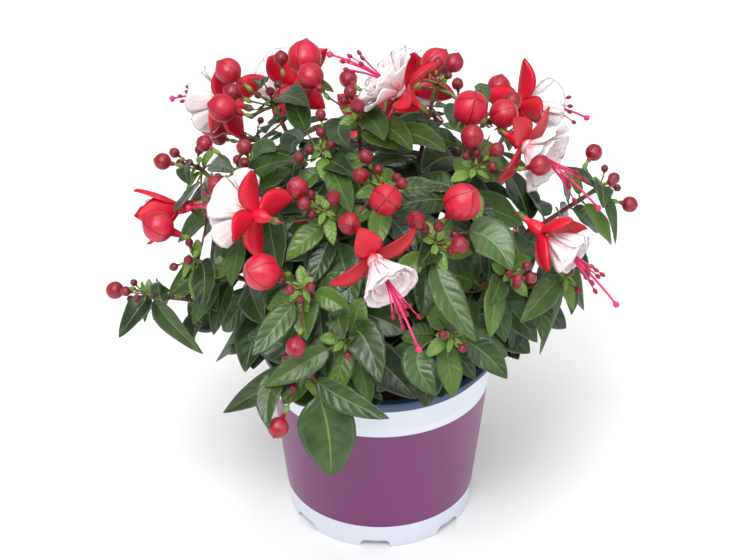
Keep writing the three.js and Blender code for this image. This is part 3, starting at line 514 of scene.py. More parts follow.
class Wiring:
    """A short way to place and join the nodes of one tree."""

    def __init__(self, tree: Tree) -> None:
        """Works on a tree."""
        self.tree = tree

    def node(self, kind: str, **inputs: object) -> Node:
        """A node of a kind, with its sockets set or joined by name and its settings by set_NAME."""
        made = self.tree.nodes.new("ShaderNode" + kind)
        for key, value in inputs.items():
            if key.startswith("set_"):
                if key == "set_group":
                    made.node_tree = value
                else:
                    setattr(made, key[4:], value)
        for key, value in inputs.items():
            if not key.startswith("set_"):
                self.join(value, made.inputs[key.replace("_", " ")])
        return made

    def join(self, value: object, socket: Socket) -> None:
        """Links a socket to another, or sets its value."""
        if isinstance(value, Socket):
            self.tree.links.new(value, socket)
        else:
            socket.default_value = value

    def math(self, operation: str, a: object, b: object = 0.0, clamp: bool = False) -> Socket:
        """The result of a sum on one or two numbers."""
        made = self.tree.nodes.new("ShaderNodeMath")
        made.operation, made.use_clamp = operation, clamp
        self.join(a, made.inputs[0])
        self.join(b, made.inputs[1])
        return made.outputs[0]

    def times(self, a: object, b: object) -> Socket:
        """The product of two numbers."""
        return self.math("MULTIPLY", a, b)

    def plus(self, a: object, b: object, clamp: bool = False) -> Socket:
        """The sum of two numbers, kept from 0 to 1 if it is to be clamped."""
        return self.math("ADD", a, b, clamp)

    def minus(self, a: object, b: object) -> Socket:
        """The first number less the second."""
        return self.math("SUBTRACT", a, b)

    def mix(self, share: object, a: object, b: object) -> Socket:
        """The colour between a and b."""
        made = self.tree.nodes.new("ShaderNodeMix")
        made.data_type = "RGBA"
        for value, socket in ((share, made.inputs[0]), (a, made.inputs[6]), (b, made.inputs[7])):
            self.join(value, socket)
        return made.outputs[2]

    def step(self, value: object, low: float, high: float, start: float = 0.0, end: float = 1.0) -> Socket:
        """A smooth step from start to end as a value goes from low to high."""
        return self.node("MapRange", set_interpolation_type="SMOOTHSTEP", Value=value, From_Min=low,
                         From_Max=high, To_Min=start, To_Max=end).outputs[0]


def group(name: str, inputs: dict[str, str],
          outputs: dict[str, str]) -> tuple[Tree, Wiring, dict, Callable]:
    """An empty node group with named sockets.

    Args:
        name: the group's name.
        inputs, outputs: names of the sockets, with their kinds.

    Returns:
        The group, its wiring, its input sockets by name, and a function that joins an output by name.
    """
    tree = bpy.data.node_groups.new(name, "ShaderNodeTree")
    for sockets, way in ((inputs, "INPUT"), (outputs, "OUTPUT")):
        for label, kind in sockets.items():
            tree.interface.new_socket(label, in_out=way, socket_type="NodeSocket" + kind)
    start, end = tree.nodes.new("NodeGroupInput"), tree.nodes.new("NodeGroupOutput")
    wiring = Wiring(tree)
    given = {s.name: s for s in start.outputs}
    return tree, wiring, given, lambda label, value: wiring.join(value, end.inputs[label])


def mottling() -> Tree:
    """Soft patches and fine grain that every grown surface has.

    Returns:
        A group that takes a place, a patch scale and a grain scale, and gives patches and grain from 0 to 1.
    """
    takes = {"Place": "Vector", "Patch Scale": "Float", "Grain Scale": "Float"}
    tree, w, given, give = group("mottling", takes, {"Patches": "Float", "Grain": "Float"})
    for label, scale, detail in (("Patches", "Patch Scale", 2.0), ("Grain", "Grain Scale", 3.0)):
        noise = w.node("TexNoise", Vector=given["Place"], Scale=given[scale], Detail=detail)
        give(label, w.step(noise.outputs[0], 0.3, 0.7))
    return tree


def leaf_veins() -> Tree:
    """A midrib, side veins that curve forwards to the margin, and the margin itself.

    The pattern's first coordinate runs from base to tip and its second from one margin to the other. A side
    vein lies where the first less a third of the distance from the midrib is a whole number of steps.

    Returns:
        A group that takes the pattern's place and the number of vein pairs, and gives the three masks and the
        height of the quilting between the veins.
    """
    tree, w, given, give = group("leaf_veins", {"Pattern": "Vector", "Pairs": "Float"},
                                 {"Midrib": "Float", "Veins": "Float", "Margin": "Float", "Quilt": "Float"})
    parts = w.node("SeparateXYZ", Vector=given["Pattern"])
    off = w.math("ABSOLUTE", w.times(w.minus(parts.outputs[1], 0.5), 2.0))
    curved = w.minus(parts.outputs[0], w.times(w.math("POWER", off, 1.4), 0.2))
    phase = w.math("FRACT", w.times(curved, given["Pairs"]))
    near = w.math("ABSOLUTE", w.minus(phase, 0.5))
    give("Midrib", w.step(off, 0.06, 0.015))
    give("Veins", w.times(w.step(near, 0.09, 0.0), w.step(off, 1.0, 0.25)))
    give("Margin", w.step(off, 0.9, 1.0))
    give("Quilt", w.times(w.step(near, 0.0, 0.42), w.step(off, 0.0, 0.2)))
    return tree


def fine_ribs() -> Tree:
    """Fine veins that fan out along a petal, a sepal or the skin of a bud.

    Returns:
        A group that takes the pattern's place, how many ribs lie across and how far they are drawn out, and
        gives the ribs from 0 to 1.
    """
    tree, w, given, give = group("fine_ribs", {"Pattern": "Vector", "Across": "Float", "Along": "Float"},
                                 {"Ribs": "Float"})
    parts = w.node("SeparateXYZ", Vector=given["Pattern"])
    placed = w.node("CombineXYZ", X=w.times(parts.outputs[0], given["Along"]),
                    Y=w.times(parts.outputs[1], given["Across"]))
    noise = w.node("TexNoise", Vector=placed.outputs[0], Scale=1.0, Detail=2.0, Roughness=0.6)
    give("Ribs", w.step(noise.outputs[0], 0.35, 0.65))
    return tree


@dataclass(frozen=True)
class Finish:
    """What every material has: a name, a roughness and the depth of its relief in millimetres."""

    name: str
    roughness: float = 0.45
    relief: float = 0.15

    def start(self) -> tuple[Material, Wiring, Node]:
        """A new material with its wiring and its shader."""
        made = bpy.data.materials.new(self.name)
        made.use_nodes = True
        w = Wiring(made.node_tree)
        shader = made.node_tree.nodes["Principled BSDF"]
        shader.inputs["Roughness"].default_value = self.roughness
        return made, w, shader

    def raise_relief(self, w: Wiring, shader: Node, height: object) -> None:
        """Joins a height from 0 to 1 to the shader's normal."""
        bump = w.node("Bump", Strength=1.0, Distance=self.relief * MM, Height=height)
        w.join(bump.outputs[0], shader.inputs["Normal"])

    @staticmethod
    def spots(w: Wiring, mottle: Tree, place: Node, patch_scale: float,
              grain_scale: float) -> tuple[Socket, Socket]:
        """The soft patches and the fine grain of a surface, each at its scale."""
        made = w.node("Group", set_group=mottle, Place=place.outputs["Object"], Patch_Scale=patch_scale,
                      Grain_Scale=grain_scale)
        return made.outputs["Patches"], made.outputs["Grain"]

    @staticmethod
    def tints(w: Wiring) -> tuple[Socket, ...]:
        """The three tints that the surface carries."""
        colour = w.node("Attribute", set_attribute_name="tint").outputs["Color"]
        return tuple(w.node("SeparateColor", Color=colour).outputs[:3])


@dataclass(frozen=True)
class LeafFinish(Finish):
    """Green blades: the first tint is the leaf's youth, the second its tone, the third its underside; the low
    tones of leaves deep in the crown are painted shade.
    """

    # The darkest green: dark leaves, and the painted shade of leaves deep in the crown.
    deep: Colour = srgb(18, 35, 15)
    full: Colour = srgb(58, 86, 32)
    young: Colour = srgb(108, 144, 48)
    vein: Colour = srgb(122, 148, 80)
    underside: Colour = srgb(104, 126, 92)
    pairs: float = 6.5
    midrib_share: float = 0.55
    vein_share: float = 0.08
    margin_share: float = 0.2

    def material(self, mottle: Tree, veins: Tree) -> Material:
        """The material of all the leaves."""
        made, w, shader = self.start()
        place = w.node("TexCoord")
        youth, tone, under = self.tints(w)
        patches, grain = self.spots(w, mottle, place, 90.0, 900.0)
        lines = w.node("Group", set_group=veins, Pattern=place.outputs["UV"], Pairs=self.pairs)
        # The tone mixes deep and full green; the low tones given to leaves deep in the crown are painted shade.
        tone = w.plus(tone, w.times(w.minus(patches, 0.5), 0.45), True)
        colour = w.mix(tone, self.deep, self.full)
        colour = w.mix(youth, colour, self.young)
        pale = w.math("MAXIMUM", w.times(lines.outputs["Midrib"], self.midrib_share),
                      w.times(lines.outputs["Veins"], self.vein_share))
        pale = w.math("MAXIMUM", pale, w.times(lines.outputs["Margin"], self.margin_share))
        colour = w.mix(pale, colour, self.vein)
        colour = w.mix(w.times(under, 0.75), colour, self.underside)
        w.join(colour, shader.inputs["Base Color"])
        rough = w.plus(w.times(grain, 0.1), self.roughness - 0.05)
        w.join(w.plus(rough, w.times(under, 0.2)), shader.inputs["Roughness"])
        height = w.plus(w.times(lines.outputs["Quilt"], 0.8), w.times(grain, 0.2))
        height = w.minus(height, w.times(lines.outputs["Midrib"], 0.6))
        self.raise_relief(w, shader, height)
        shader.inputs["Sheen Weight"].default_value = 0.14
        shader.inputs["Sheen Roughness"].default_value = 0.4
        shader.inputs["Sheen Tint"].default_value = srgb(190, 206, 204)
        return made


@dataclass(frozen=True)
class StemFinish(Finish):
    """Stems and stalks: the first tint is how red-brown they are."""

    green: Colour = srgb(96, 122, 52)
    flushed: Colour = srgb(98, 34, 34)

    def material(self, mottle: Tree) -> Material:
        """The material of stems, leaf stalks and bud stalks."""
        made, w, shader = self.start()
        place = w.node("TexCoord")
        flush, _, _ = self.tints(w)
        patches, grain = self.spots(w, mottle, place, 160.0, 1200.0)
        share = w.plus(flush, w.times(w.minus(patches, 0.5), 0.4), True)
        colour = w.mix(share, self.green, self.flushed)
        w.join(w.mix(w.times(grain, 0.25), colour, srgb(60, 30, 26)),
               shader.inputs["Base Color"])
        self.raise_relief(w, shader, grain)
        return made


@dataclass(frozen=True)
class BudFinish(Finish):
    """Buds: the first tint is the ovary, the second the bud's ripeness, the third the ring's radius share."""

    ovary: Colour = srgb(112, 140, 48)
    unripe: Colour = srgb(94, 16, 30)
    ripe: Colour = srgb(196, 18, 52)
    seam: Colour = srgb(90, 10, 26)

    def material(self, mottle: Tree, ribs: Tree) -> Material:
        """The material of all the closed buds."""
        made, w, shader = self.start()
        place = w.node("TexCoord")
        ovary, ripe, wide = self.tints(w)
        patches, grain = self.spots(w, mottle, place, 150.0, 1400.0)
        swapped = w.node("SeparateXYZ", Vector=place.outputs["UV"])
        pattern = w.node("CombineXYZ", X=swapped.outputs[1], Y=swapped.outputs[0])
        fine = w.node("Group", set_group=ribs, Pattern=pattern.outputs[0], Across=38.0, Along=2.5)
        turn = w.math("FRACT", w.plus(w.times(swapped.outputs[0], 4.0), 0.5))
        off = w.times(w.math("ABSOLUTE", w.minus(turn, 0.5)), wide)
        seam = w.times(w.step(off, 0.05, 0.012), w.step(wide, 0.0, 0.12))
        colour = w.mix(ripe, self.unripe, self.ripe)
        colour = w.mix(w.times(patches, 0.14), colour, srgb(220, 80, 100))
        colour = w.mix(w.times(fine.outputs["Ribs"], 0.14), colour, self.seam)
        colour = w.mix(w.times(seam, 0.7), colour, self.seam)
        w.join(w.mix(ovary, colour, self.ovary), shader.inputs["Base Color"])
        height = w.plus(w.times(fine.outputs["Ribs"], 0.35), w.times(grain, 0.25))
        self.raise_relief(w, shader, w.minus(height, w.times(seam, 0.6)))
        return made


@dataclass(frozen=True)
class SepalFinish(Finish):
    """Red tube and sepals: the three tints tell the ovary, the stalk and a sepal's outer face."""

    red: Colour = srgb(206, 6, 34)
    bright: Colour = srgb(228, 30, 56)
    outer: Colour = srgb(198, 10, 44)
    ovary: Colour = srgb(92, 92, 40)
    stalk: Colour = srgb(120, 44, 38)

    def material(self, mottle: Tree, ribs: Tree) -> Material:
        """The material of the stalk, ovary, tube and sepals."""
        made, w, shader = self.start()
        place = w.node("TexCoord")
        ovary, stalk, outer = self.tints(w)
        patches, grain = self.spots(w, mottle, place, 110.0, 1100.0)
        fine = w.node("Group", set_group=ribs, Pattern=place.outputs["UV"], Across=14.0, Along=1.2)
        colour = w.mix(w.times(patches, 0.6), self.red, self.bright)
        colour = w.mix(w.times(outer, 0.6), colour, self.outer)
        colour = w.mix(w.times(fine.outputs["Ribs"], 0.16), colour, srgb(150, 6, 20))
        colour = w.mix(ovary, colour, self.ovary)
        w.join(w.mix(stalk, colour, self.stalk), shader.inputs["Base Color"])
        height = w.plus(w.times(fine.outputs["Ribs"], 0.6), w.times(grain, 0.25))
        self.raise_relief(w, shader, height)
        shader.inputs["Subsurface Weight"].default_value = 0.1
        shader.inputs["Subsurface Radius"].default_value = (1.0, 0.25, 0.2)
        shader.inputs["Subsurface Scale"].default_value = 0.6 * MM
        return made


@dataclass(frozen=True)
class PetalFinish(Finish):
    """White petals with pink veins that fade out from the base."""

    white: Colour = srgb(252, 244, 245)
    blush: Colour = srgb(246, 214, 222)
    vein: Colour = srgb(226, 40, 92)

    def material(self, mottle: Tree, ribs: Tree) -> Material:
        """The material of the petals."""
        made, w, shader = self.start()
        place = w.node("TexCoord")
        patches, grain = self.spots(w, mottle, place, 120.0, 1300.0)
        fine = w.node("Group", set_group=ribs, Pattern=place.outputs["UV"], Across=17.0, Along=1.6)
        along = w.node("SeparateXYZ", Vector=place.outputs["UV"]).outputs[0]
        pink = w.times(w.step(fine.outputs["Ribs"], 0.45, 0.95), w.step(along, 0.62, 0.1))
        pink = w.math("MAXIMUM", pink, w.step(along, 0.2, 0.0, 0.0, 0.85))
        colour = w.mix(w.times(patches, 0.3), self.white, self.blush)
        w.join(w.mix(pink, colour, self.vein), shader.inputs["Base Color"])
        height = w.plus(w.times(fine.outputs["Ribs"], 0.7), w.times(grain, 0.2))
        self.raise_relief(w, shader, height)
        shader.inputs["Subsurface Weight"].default_value = 0.25
        shader.inputs["Subsurface Radius"].default_value = (1.0, 0.7, 0.7)
        shader.inputs["Subsurface Scale"].default_value = 1.2 * MM
        return made


@dataclass(frozen=True)
class StamenFinish(Finish):
    """Threads and style: the first tint tells the dark anthers, the second the style's knob."""

    thread: Colour = srgb(214, 30, 100)
    anther: Colour = srgb(150, 8, 44)
    knob: Colour = srgb(216, 40, 96)

    def material(self, mottle: Tree) -> Material:
        """The material of stamens and style."""
        made, w, shader = self.start()
        place = w.node("TexCoord")
        anther, knob, _ = self.tints(w)
        patches, grain = self.spots(w, mottle, place, 300.0, 2400.0)
        colour = w.mix(w.times(patches, 0.3), self.thread, srgb(232, 70, 130))
        colour = w.mix(anther, colour, self.anther)
        w.join(w.mix(knob, colour, self.knob), shader.inputs["Base Color"])
        self.raise_relief(w, shader, w.times(grain, w.math("MAXIMUM", anther, knob)))
        return made


@dataclass(frozen=True)
class PotFinish(Finish):
    """Glossy white plastic with a printed plum band, blue-grey on the lip and inside."""

    white: Colour = srgb(222, 227, 236)
    inside: Colour = srgb(54, 76, 104)
    band: Colour = srgb(110, 34, 96)

    def material(self, mottle: Tree) -> Material:
        """The pot's material, placed by height and by distance from the pot's axis."""
        made, w, shader = self.start()
        place = w.node("TexCoord")
        at = w.node("SeparateXYZ", Vector=place.outputs["Object"])
        patches, grain = self.spots(w, mottle, place, 14.0, 900.0)
        across, along = (w.math("POWER", at.outputs[k], 2.0) for k in (0, 1))
        away = w.math("SQRT", w.plus(across, along))
        slope = (NECK_RADIUS - FOOT_RADIUS) / (POT_HEIGHT - LIP_HEIGHT)
        depth = w.minus(w.plus(w.times(at.outputs[2], slope), FOOT_RADIUS * MM), away)
        inner = w.times(w.math("GREATER_THAN", depth, 0.7 * MM),
                       w.math("GREATER_THAN", at.outputs[2], (FLOOR - 0.5) * MM))
        lip = w.math("GREATER_THAN", at.outputs[2], (POT_HEIGHT - LIP_HEIGHT - 0.05) * MM)
        blue = w.math("MAXIMUM", inner, lip)
        band = w.times(w.math("GREATER_THAN", at.outputs[2], BAND_LOW * MM),
                      w.math("LESS_THAN", at.outputs[2], BAND_HIGH * MM))
        band = w.times(band, w.minus(1.0, blue))
        white = w.mix(w.times(patches, 0.4), self.white, srgb(212, 218, 230))
        plum = w.mix(w.times(patches, 0.3), self.band, srgb(120, 42, 104))
        colour = w.mix(blue, w.mix(band, white, plum), self.inside)
        w.join(colour, shader.inputs["Base Color"])
        rough = w.plus(w.times(grain, 0.015), self.roughness)
        w.join(w.plus(rough, w.times(blue, 0.1)), shader.inputs["Roughness"])
        self.raise_relief(w, shader, w.plus(w.times(band, 0.5), w.times(patches, 0.5)))
        shader.inputs["Coat Weight"].default_value = 0.12
        shader.inputs["Coat Roughness"].default_value = 0.2
        return made


@dataclass(frozen=True)
class SoilFinish(Finish):
    """Dark potting mix: the first tint is how light a crumb is, the second tells a white stone."""

    dark: Colour = srgb(30, 22, 18)
    brown: Colour = srgb(74, 52, 38)
    pale: Colour = srgb(142, 112, 82)
    stone: Colour = srgb(226, 224, 218)

    def material(self, mottle: Tree) -> Material:
        """The material of the earth, its crumbs and its white stones."""
        made, w, shader = self.start()
        place = w.node("TexCoord")
        light, stone, _ = self.tints(w)
        patches, grain = self.spots(w, mottle, place, 260.0, 1500.0)
        colour = w.mix(patches, self.dark, self.brown)
        colour = w.mix(w.times(light, grain), colour, self.pale)
        grey = w.mix(w.times(grain, 0.5), self.stone, srgb(170, 166, 160))
        w.join(w.mix(stone, colour, grey), shader.inputs["Base Color"])
        self.raise_relief(w, shader, grain)
        return made


@dataclass(frozen=True)
class FloorFinish(Finish):
    """The plain pale floor that the plant stands on."""

    colour: Colour = srgb(250, 250, 250)

    def material(self) -> Material:
        """The floor's material."""
        made, _, shader = self.start()
        shader.inputs["Base Color"].default_value = self.colour
        shader.inputs["Specular IOR Level"].default_value = 0.1
        return made


@dataclass
class Finishes:
    """All the materials of the plant, made once."""

    leaf: Material = field(init=False)
    stem: Material = field(init=False)
    bud: Material = field(init=False)
    sepal: Material = field(init=False)
    petal: Material = field(init=False)
    stamen: Material = field(init=False)
    pot: Material = field(init=False)
    soil: Material = field(init=False)
    floor: Material = field(init=False)

    def __post_init__(self) -> None:
        """Builds the shared groups, then each material."""
        mottle, veins, ribs = mottling(), leaf_veins(), fine_ribs()
        self.leaf = LeafFinish("leaf_green", 0.33, 0.17).material(mottle, veins)
        self.stem = StemFinish("stem_red_brown", 0.45, 0.1).material(mottle)
        self.bud = BudFinish("bud_skin", 0.33, 0.12).material(mottle, ribs)
        self.sepal = SepalFinish("sepal_red", 0.36, 0.14).material(mottle, ribs)
        self.petal = PetalFinish("petal_white", 0.55, 0.2).material(mottle, ribs)
        self.stamen = StamenFinish("stamen_pink", 0.35, 0.1).material(mottle)
        self.pot = PotFinish("pot_plastic", 0.34, 0.05).material(mottle)
        self.soil = SoilFinish("potting_mix", 0.95, 0.5).material(mottle)
        self.floor = FloorFinish("pale_floor", 0.7, 0.0).material()


# The plant's parts


@dataclass(frozen=True)
class StemNode:
    """A leaf node of a shoot: where it is and the two ways square to the stem."""

    t: float
    at: Array
    way: Array
    level: Array
    steep: Array


@dataclass(frozen=True)
class Leaf:
    """One leaf along an arc from its root in the stem, with the face that it turns up."""

    root: Array
    elbow: Array
    tip: Array
    width: float
    stalk: float
    face: Array
    youth: float = 0.0
    tone: float = 0.5


@dataclass(frozen=True)
class Bud:
    """One stalked bud along an arc from its root in the stem."""

    root: Array
    elbow: Array
    ball: Array
    radius: float


@dataclass
class Crowding:
    """Balls around the buds and blooms, which added leaves keep out of."""

    centres: list[Array] = field(default_factory=list)
    radii: list[float] = field(default_factory=list)

    def put(self, centre: Array, radius: float) -> None:
        """Adds a ball."""
        self.centres.append(centre)
        self.radii.append(radius)

    def clear(self, points: Array, margin: float) -> bool:
        """Whether all the points keep a margin from every ball."""
        away = np.linalg.norm(points[:, None] - np.array(self.centres)[None], axis=-1)
        return bool((away > np.array(self.radii)[None] + margin).all())


def stem_radius(t: float | Array) -> float | Array:
    """A stem's radius from its foot, 0, to its tip, 1."""
    return STEM_BASE + (STEM_TIP - STEM_BASE) * t


def leaf_surfaces(leaves: Sequence[Leaf], rows: int, cols: int, waves: Array) -> Surface:
    """Folded blades: each row lies square to the leaf's arc, an oval's width across, raised by the fold.

    The height over the midrib is the half width by 0.34 of the distance across less 0.12 of its square, plus
    a wave that grows with the square. The lower sheet lies under it by a thickness that thins to nothing at the
    margin and swells at the midrib.

    Args:
        leaves: the leaves to draw.
        rows, cols: points along and across each blade.
        waves: a phase from 0 to 1 for each leaf.

    Returns:
        All the blades as one surface.
    """
    def stack(name: str) -> Array:
        """One value of every leaf, with room for the rows."""
        return np.array([getattr(leaf, name) for leaf in leaves], float)[:, None]

    along = (1 - np.cos(np.linspace(0.0, math.pi, rows))) / 2
    along = 0.35 * along + 0.65 * np.linspace(0, 1, rows)
    t = stack("stalk") + (1 - stack("stalk")) * along[None]
    root, elbow, tip = stack("root"), stack("elbow"), stack("tip")
    mid = arc_point(root, elbow, tip, t[..., None])
    way = arc_way(root, elbow, tip, t[..., None])
    up = square(np.broadcast_to(stack("face"), way.shape), way)
    across = np.cross(way, up)
    half = np.maximum(stack("width") / 2 * oval(along)[None], np.where(along < 0.5, 0.5, 0.22)[None])
    v = np.linspace(-1, 1, cols)
    off = np.sqrt(v * v + 0.012) - 0.11
    fold = (0.34 * off - 0.12 * v * v)[None, None]
    phase = 1.7 * along[None, :, None] + waves[:, None, None] + 0.25 * np.sign(v)[None, None]
    ripple = np.sin(2 * math.pi * phase)
    lift = half[..., None] * (fold + 0.085 * ripple * (v * v)[None, None])
    aside = across[:, :, None] * (half[..., None, None] * v[:, None])
    upper = mid[:, :, None] + aside + up[:, :, None] * lift[..., None]
    thick = 0.5 * (1 - v**4) + 0.45 * np.exp(-((v / 0.12) ** 2))
    lower = upper - up[:, :, None] * thick[:, None]
    uv = np.stack(np.broadcast_arrays(along[:, None], (0.5 + 0.5 * v)[None]), -1)
    tint = np.array([[leaf.youth, leaf.tone] for leaf in leaves])
    return blades(upper, lower, uv, tint)


def petiole(leaf: Leaf, flush: float) -> Surface:
    """A leaf's stalk, from inside the stem to just inside the blade."""
    t = np.linspace(0, leaf.stalk * 1.12, 4)[:, None]
    path = arc_point(leaf.root, leaf.elbow, leaf.tip, t)
    size = min(0.62, 0.3 + leaf.width * 0.022)
    return tube(path, size * np.array([1.15, 1.0, 0.95, 0.6]), 6, np.array([flush, 0, 0]))


BALL_RINGS = np.array([-1.02, -0.95, -0.83, -0.63, -0.38, -0.08, 0.22, 0.48, 0.7, 0.86, 0.97, 1.06, 1.13])
BALL_SHAPE = np.array([0.3, 0.42, 0.62, 0.82, 0.955, 1.0, 0.975, 0.88, 0.7, 0.48, 0.28, 0.12, 0.03])


def bud_surface(bud: Bud, flush: float) -> tuple[Surface, Surface]:
    """A stalked bud: a thin stalk, an ovary, a short tube and a ball with four seams that ends in a point.

    The head is a round profile carried along the last, straight stretch of the bud's arc. The ball's radius
    is cut in at each seam by a bell that is a sixth of a quarter turn wide and deepens towards the tip.

    Args:
        bud: the bud's arc and radius.
        flush: how red-brown the stalk is.

    Returns:
        The stalk and the head.
    """
    r = bud.radius
    way = arc_way(bud.root, bud.elbow, bud.ball, 1)
    neck = bud.ball - way * 2.1 * r
    mid = arc_point(bud.root, bud.elbow, bud.ball, 0.4)
    scale = min(1.0, r / 4.2)
    thin = 0.3 + 0.22 * scale
    knots = np.concatenate([[0], np.cumsum(np.linalg.norm(np.diff([bud.root, mid, neck], axis=0), axis=1))])
    s = np.linspace(0, knots[-1], 9)
    stalk = tube(through(knots, [bud.root, mid, neck], s), np.full(9, thin), 6, np.array([flush, 0, 0]))
    ovary = np.array([-2.3, -1.9, -1.0, 0.2, 1.3, 2.0, 2.4]) * scale
    ovary_shape = np.array([0.42, 0.8, 1.2, 1.35, 1.12, 0.8, 0.7]) * scale
    tube_start, tube_end = 2.4 * scale, 1.08 * r
    tube_at = tube_start + (tube_end - tube_start) * np.array([0.35, 0.75])
    tube_shape = np.array([0.17 * r + 0.35 * scale, 0.24 * r + 0.2 * scale])
    x = np.concatenate([ovary, tube_at, 2.1 * r + BALL_RINGS * r])
    radii = np.concatenate([ovary_shape, tube_shape, BALL_SHAPE * r])
    sides = 24 if r > 6.4 else 16 if r > 3.3 else 12
    angle = np.arange(sides) / sides * 4
    seam = np.exp(-(((angle - np.round(angle)) / 0.16) ** 2))
    deep = np.interp(x / r - 2.1, [-0.9, 0.1, 0.9, 1.13], [0.0, 0.035, 0.07, 0.0])
    green = np.interp(x, [tube_start - 0.1, tube_start + 0.5 * scale], [1.0, 0.0])
    ripe = float(np.interp(r, [2.0, 5.0, 8.5], [0.0, 0.36, 1.0]))
    tint = np.stack([green, np.full(len(x), ripe), np.clip(radii / r, 0, 1)], -1)
    head = tube(neck + way * x[:, None], radii, sides, tint, np.clip((x / r) / 3.25, 0, 1),
                1 - deep[:, None] * seam[None])
    return stalk, head


@dataclass
class Shoot:
    """One leafy stem with everything it bears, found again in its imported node."""

    plan: ShootPlan
    index: int
    curve: Array = field(init=False)
    length: float = field(init=False)
    nodes: list[StemNode] = field(init=False)
    leaves: list[Leaf] = field(default_factory=list)
    buds: list[Bud] = field(default_factory=list)

    def __post_init__(self) -> None:
        """Works out the stem's curve and its leaf nodes: up out of the soil, then over to its tip."""
        plan = self.plan
        tip = crown(plan.az, plan.el, plan.reach)
        out = unit(tip - HEART)
        foot = 9 + 31 * math.cos(math.radians(plan.el)) ** 1.5
        a = math.radians(plan.az)
        root = vec(foot * math.sin(a), -foot * math.cos(a), SOIL_TOP + 2)
        self.length = float(np.linalg.norm(tip - root))
        bend = tip - unit(out + 0.15 * UP) * self.length / 3
        self.curve = np.array([root, root + UP * self.length / 3, bend, tip])
        self.nodes = [self.node(depth) for depth in NODE_DEPTHS if depth < self.length * 0.8]

    def point(self, t: float | Array) -> Array:
        """The stem's cubic curve at t."""
        a, b, c, d = self.curve
        return (1 - t) ** 3 * a + 3 * (1 - t) ** 2 * t * b + 3 * (1 - t) * t * t * c + t**3 * d

    def node(self, depth: float) -> StemNode:
        """The leaf node at a depth from the tip."""
        t = 1 - depth / self.length
        way = unit(self.point(t + 0.01) - self.point(t - 0.01))
        level = unit(np.cross(way, UP))
        return StemNode(t, self.point(t), way, level, np.cross(level, way))

    def nearest(self, place: Array, wanted: float) -> StemNode:
        """The node whose distance from a place is closest to the wanted one."""
        return min(self.nodes, key=lambda n: abs(float(np.linalg.norm(n.at - place)) - wanted))

    def placed_bud(self, spec: Sequence[float], attempt: int) -> Bud:
        """One of the ways to place a bud."""
        az, el, reach, radius = spec
        ball = crown(az, el, reach + (0, 3, -3, 6, 9, -6)[attempt])
        node = self.nearest(ball, 10 + 2.4 * radius)
        out = unit(ball - HEART) + DOWN * (0.35 if radius > 3.3 else -0.1)
        out = unit(out + 0.6 * unit(ball - node.at))
        elbow = ball - out * max(2.7 * radius, 0.45 * float(np.linalg.norm(ball - node.at)))
        return Bud(node.at, elbow + 0.15 * (node.at + 3 * node.way - elbow), ball, radius)

    def large_leaf(self, spec: Sequence[float], attempt: int) -> Leaf:
        """One of the ways to place a large leaf."""
        az, el, tip_az, tip_el, width, *rest = spec
        shift = (0, 4, -4, 8, -8, 12)[attempt]
        out, tip_out = (rest or [0])[0], (rest or [0])[-1]
        elbow = crown(az, el, LEAF_BASE_REACH + out + shift / 2)
        tip = crown(tip_az, tip_el, LEAF_TIP_REACH + tip_out + shift)
        root = self.nearest(elbow, 8).at
        bare = float(np.linalg.norm(root - elbow))
        stalk = min(max(0.75 * bare / (bare + float(np.linalg.norm(elbow - tip))), 0.14), 0.4)
        face = shown((elbow + tip) / 2) + 0.25 * UP
        return Leaf(root, elbow, tip, width, stalk, face)

    def paired_leaf(self, node: StemNode, turn: float, nominal: float, draw: Draws, attempt: int) -> Leaf:
        """One of the ways to place a leaf of a pair: it spreads, sags and shows its face outwards."""
        loose = 0.11 * attempt
        angle = turn + (draw() - 0.5) * (0.3 + 2 * loose)
        spread = 1.15 + (draw() - 0.5) * (0.3 + 2 * loose)
        length = nominal * (0.88 + 0.24 * draw()) * (1 - 0.045 * attempt)
        sag = 0.08 + 0.26 * draw()
        along = turned(node.level, node.steep, angle) * math.sin(spread) + node.way * math.cos(spread)
        along = unit(along + 0.3 * DOWN)
        face = square(0.6 * node.way + shown(node.at) + 0.4 * UP, along)
        elbow = node.at + along * length * 0.5
        tip = node.at + along * length * 0.95 + DOWN * length * sag - face * 0.12 * length
        tip[2] = max(tip[2], LOWEST_TIP)
        return Leaf(node.at, elbow, tip, length * LEAF_SLENDERNESS, 0.12, face)

    def find(self, crowding: Crowding) -> None:
        """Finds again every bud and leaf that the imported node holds, and notes the buds' room."""
        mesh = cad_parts[f"leafy_stem_{self.plan.name}"].data
        flat = np.empty(len(mesh.vertices) * 3, np.float32)
        mesh.vertices.foreach_get("co", flat)
        corners = flat.reshape(-1, 3) / MM

        def first(tries: int, place: Callable[[int], Bud | Leaf],
                  end: Callable[[Bud | Leaf], Array]) -> Bud | Leaf | None:
            """The first of the ways to place a thing whose end point is a corner of the node."""
            ways = [place(n) for n in range(tries)]
            return next((w for w in ways if np.abs(corners - end(w)).max(1).min() < MATCH), None)

        def bud_end(b: Bud) -> Array:
            """The point of a bud."""
            return b.ball + arc_way(b.root, b.elbow, b.ball, 1) * 1.25 * b.radius

        for spec in self.plan.buds:
            bud = first(6, lambda n: self.placed_bud(spec, n), bud_end)
            if bud:
                self.buds.append(bud)
        for spec in self.plan.leaves:
            leaf = first(6, lambda n: self.large_leaf(spec, n), lambda found: found.tip)
            if leaf:
                self.leaves.append(leaf)
        for level in range(FIRST_SOLID_LEVEL, len(self.nodes)):
            for side in (0, 1):
                draw = Draws(100 * self.index + 10 * level + side)
                turn = math.radians(self.plan.turn + 90 * level + 180 * side)
                node, nominal = self.nodes[level], LEAF_LENGTHS[level]
                leaf = first(PAIR_TRIES, lambda n: self.paired_leaf(node, turn, nominal, draw, n),
                             lambda found: found.tip)
                if leaf:
                    self.leaves.append(leaf)
        for bud in self.buds:
            crowding.put(bud.ball, bud.radius)

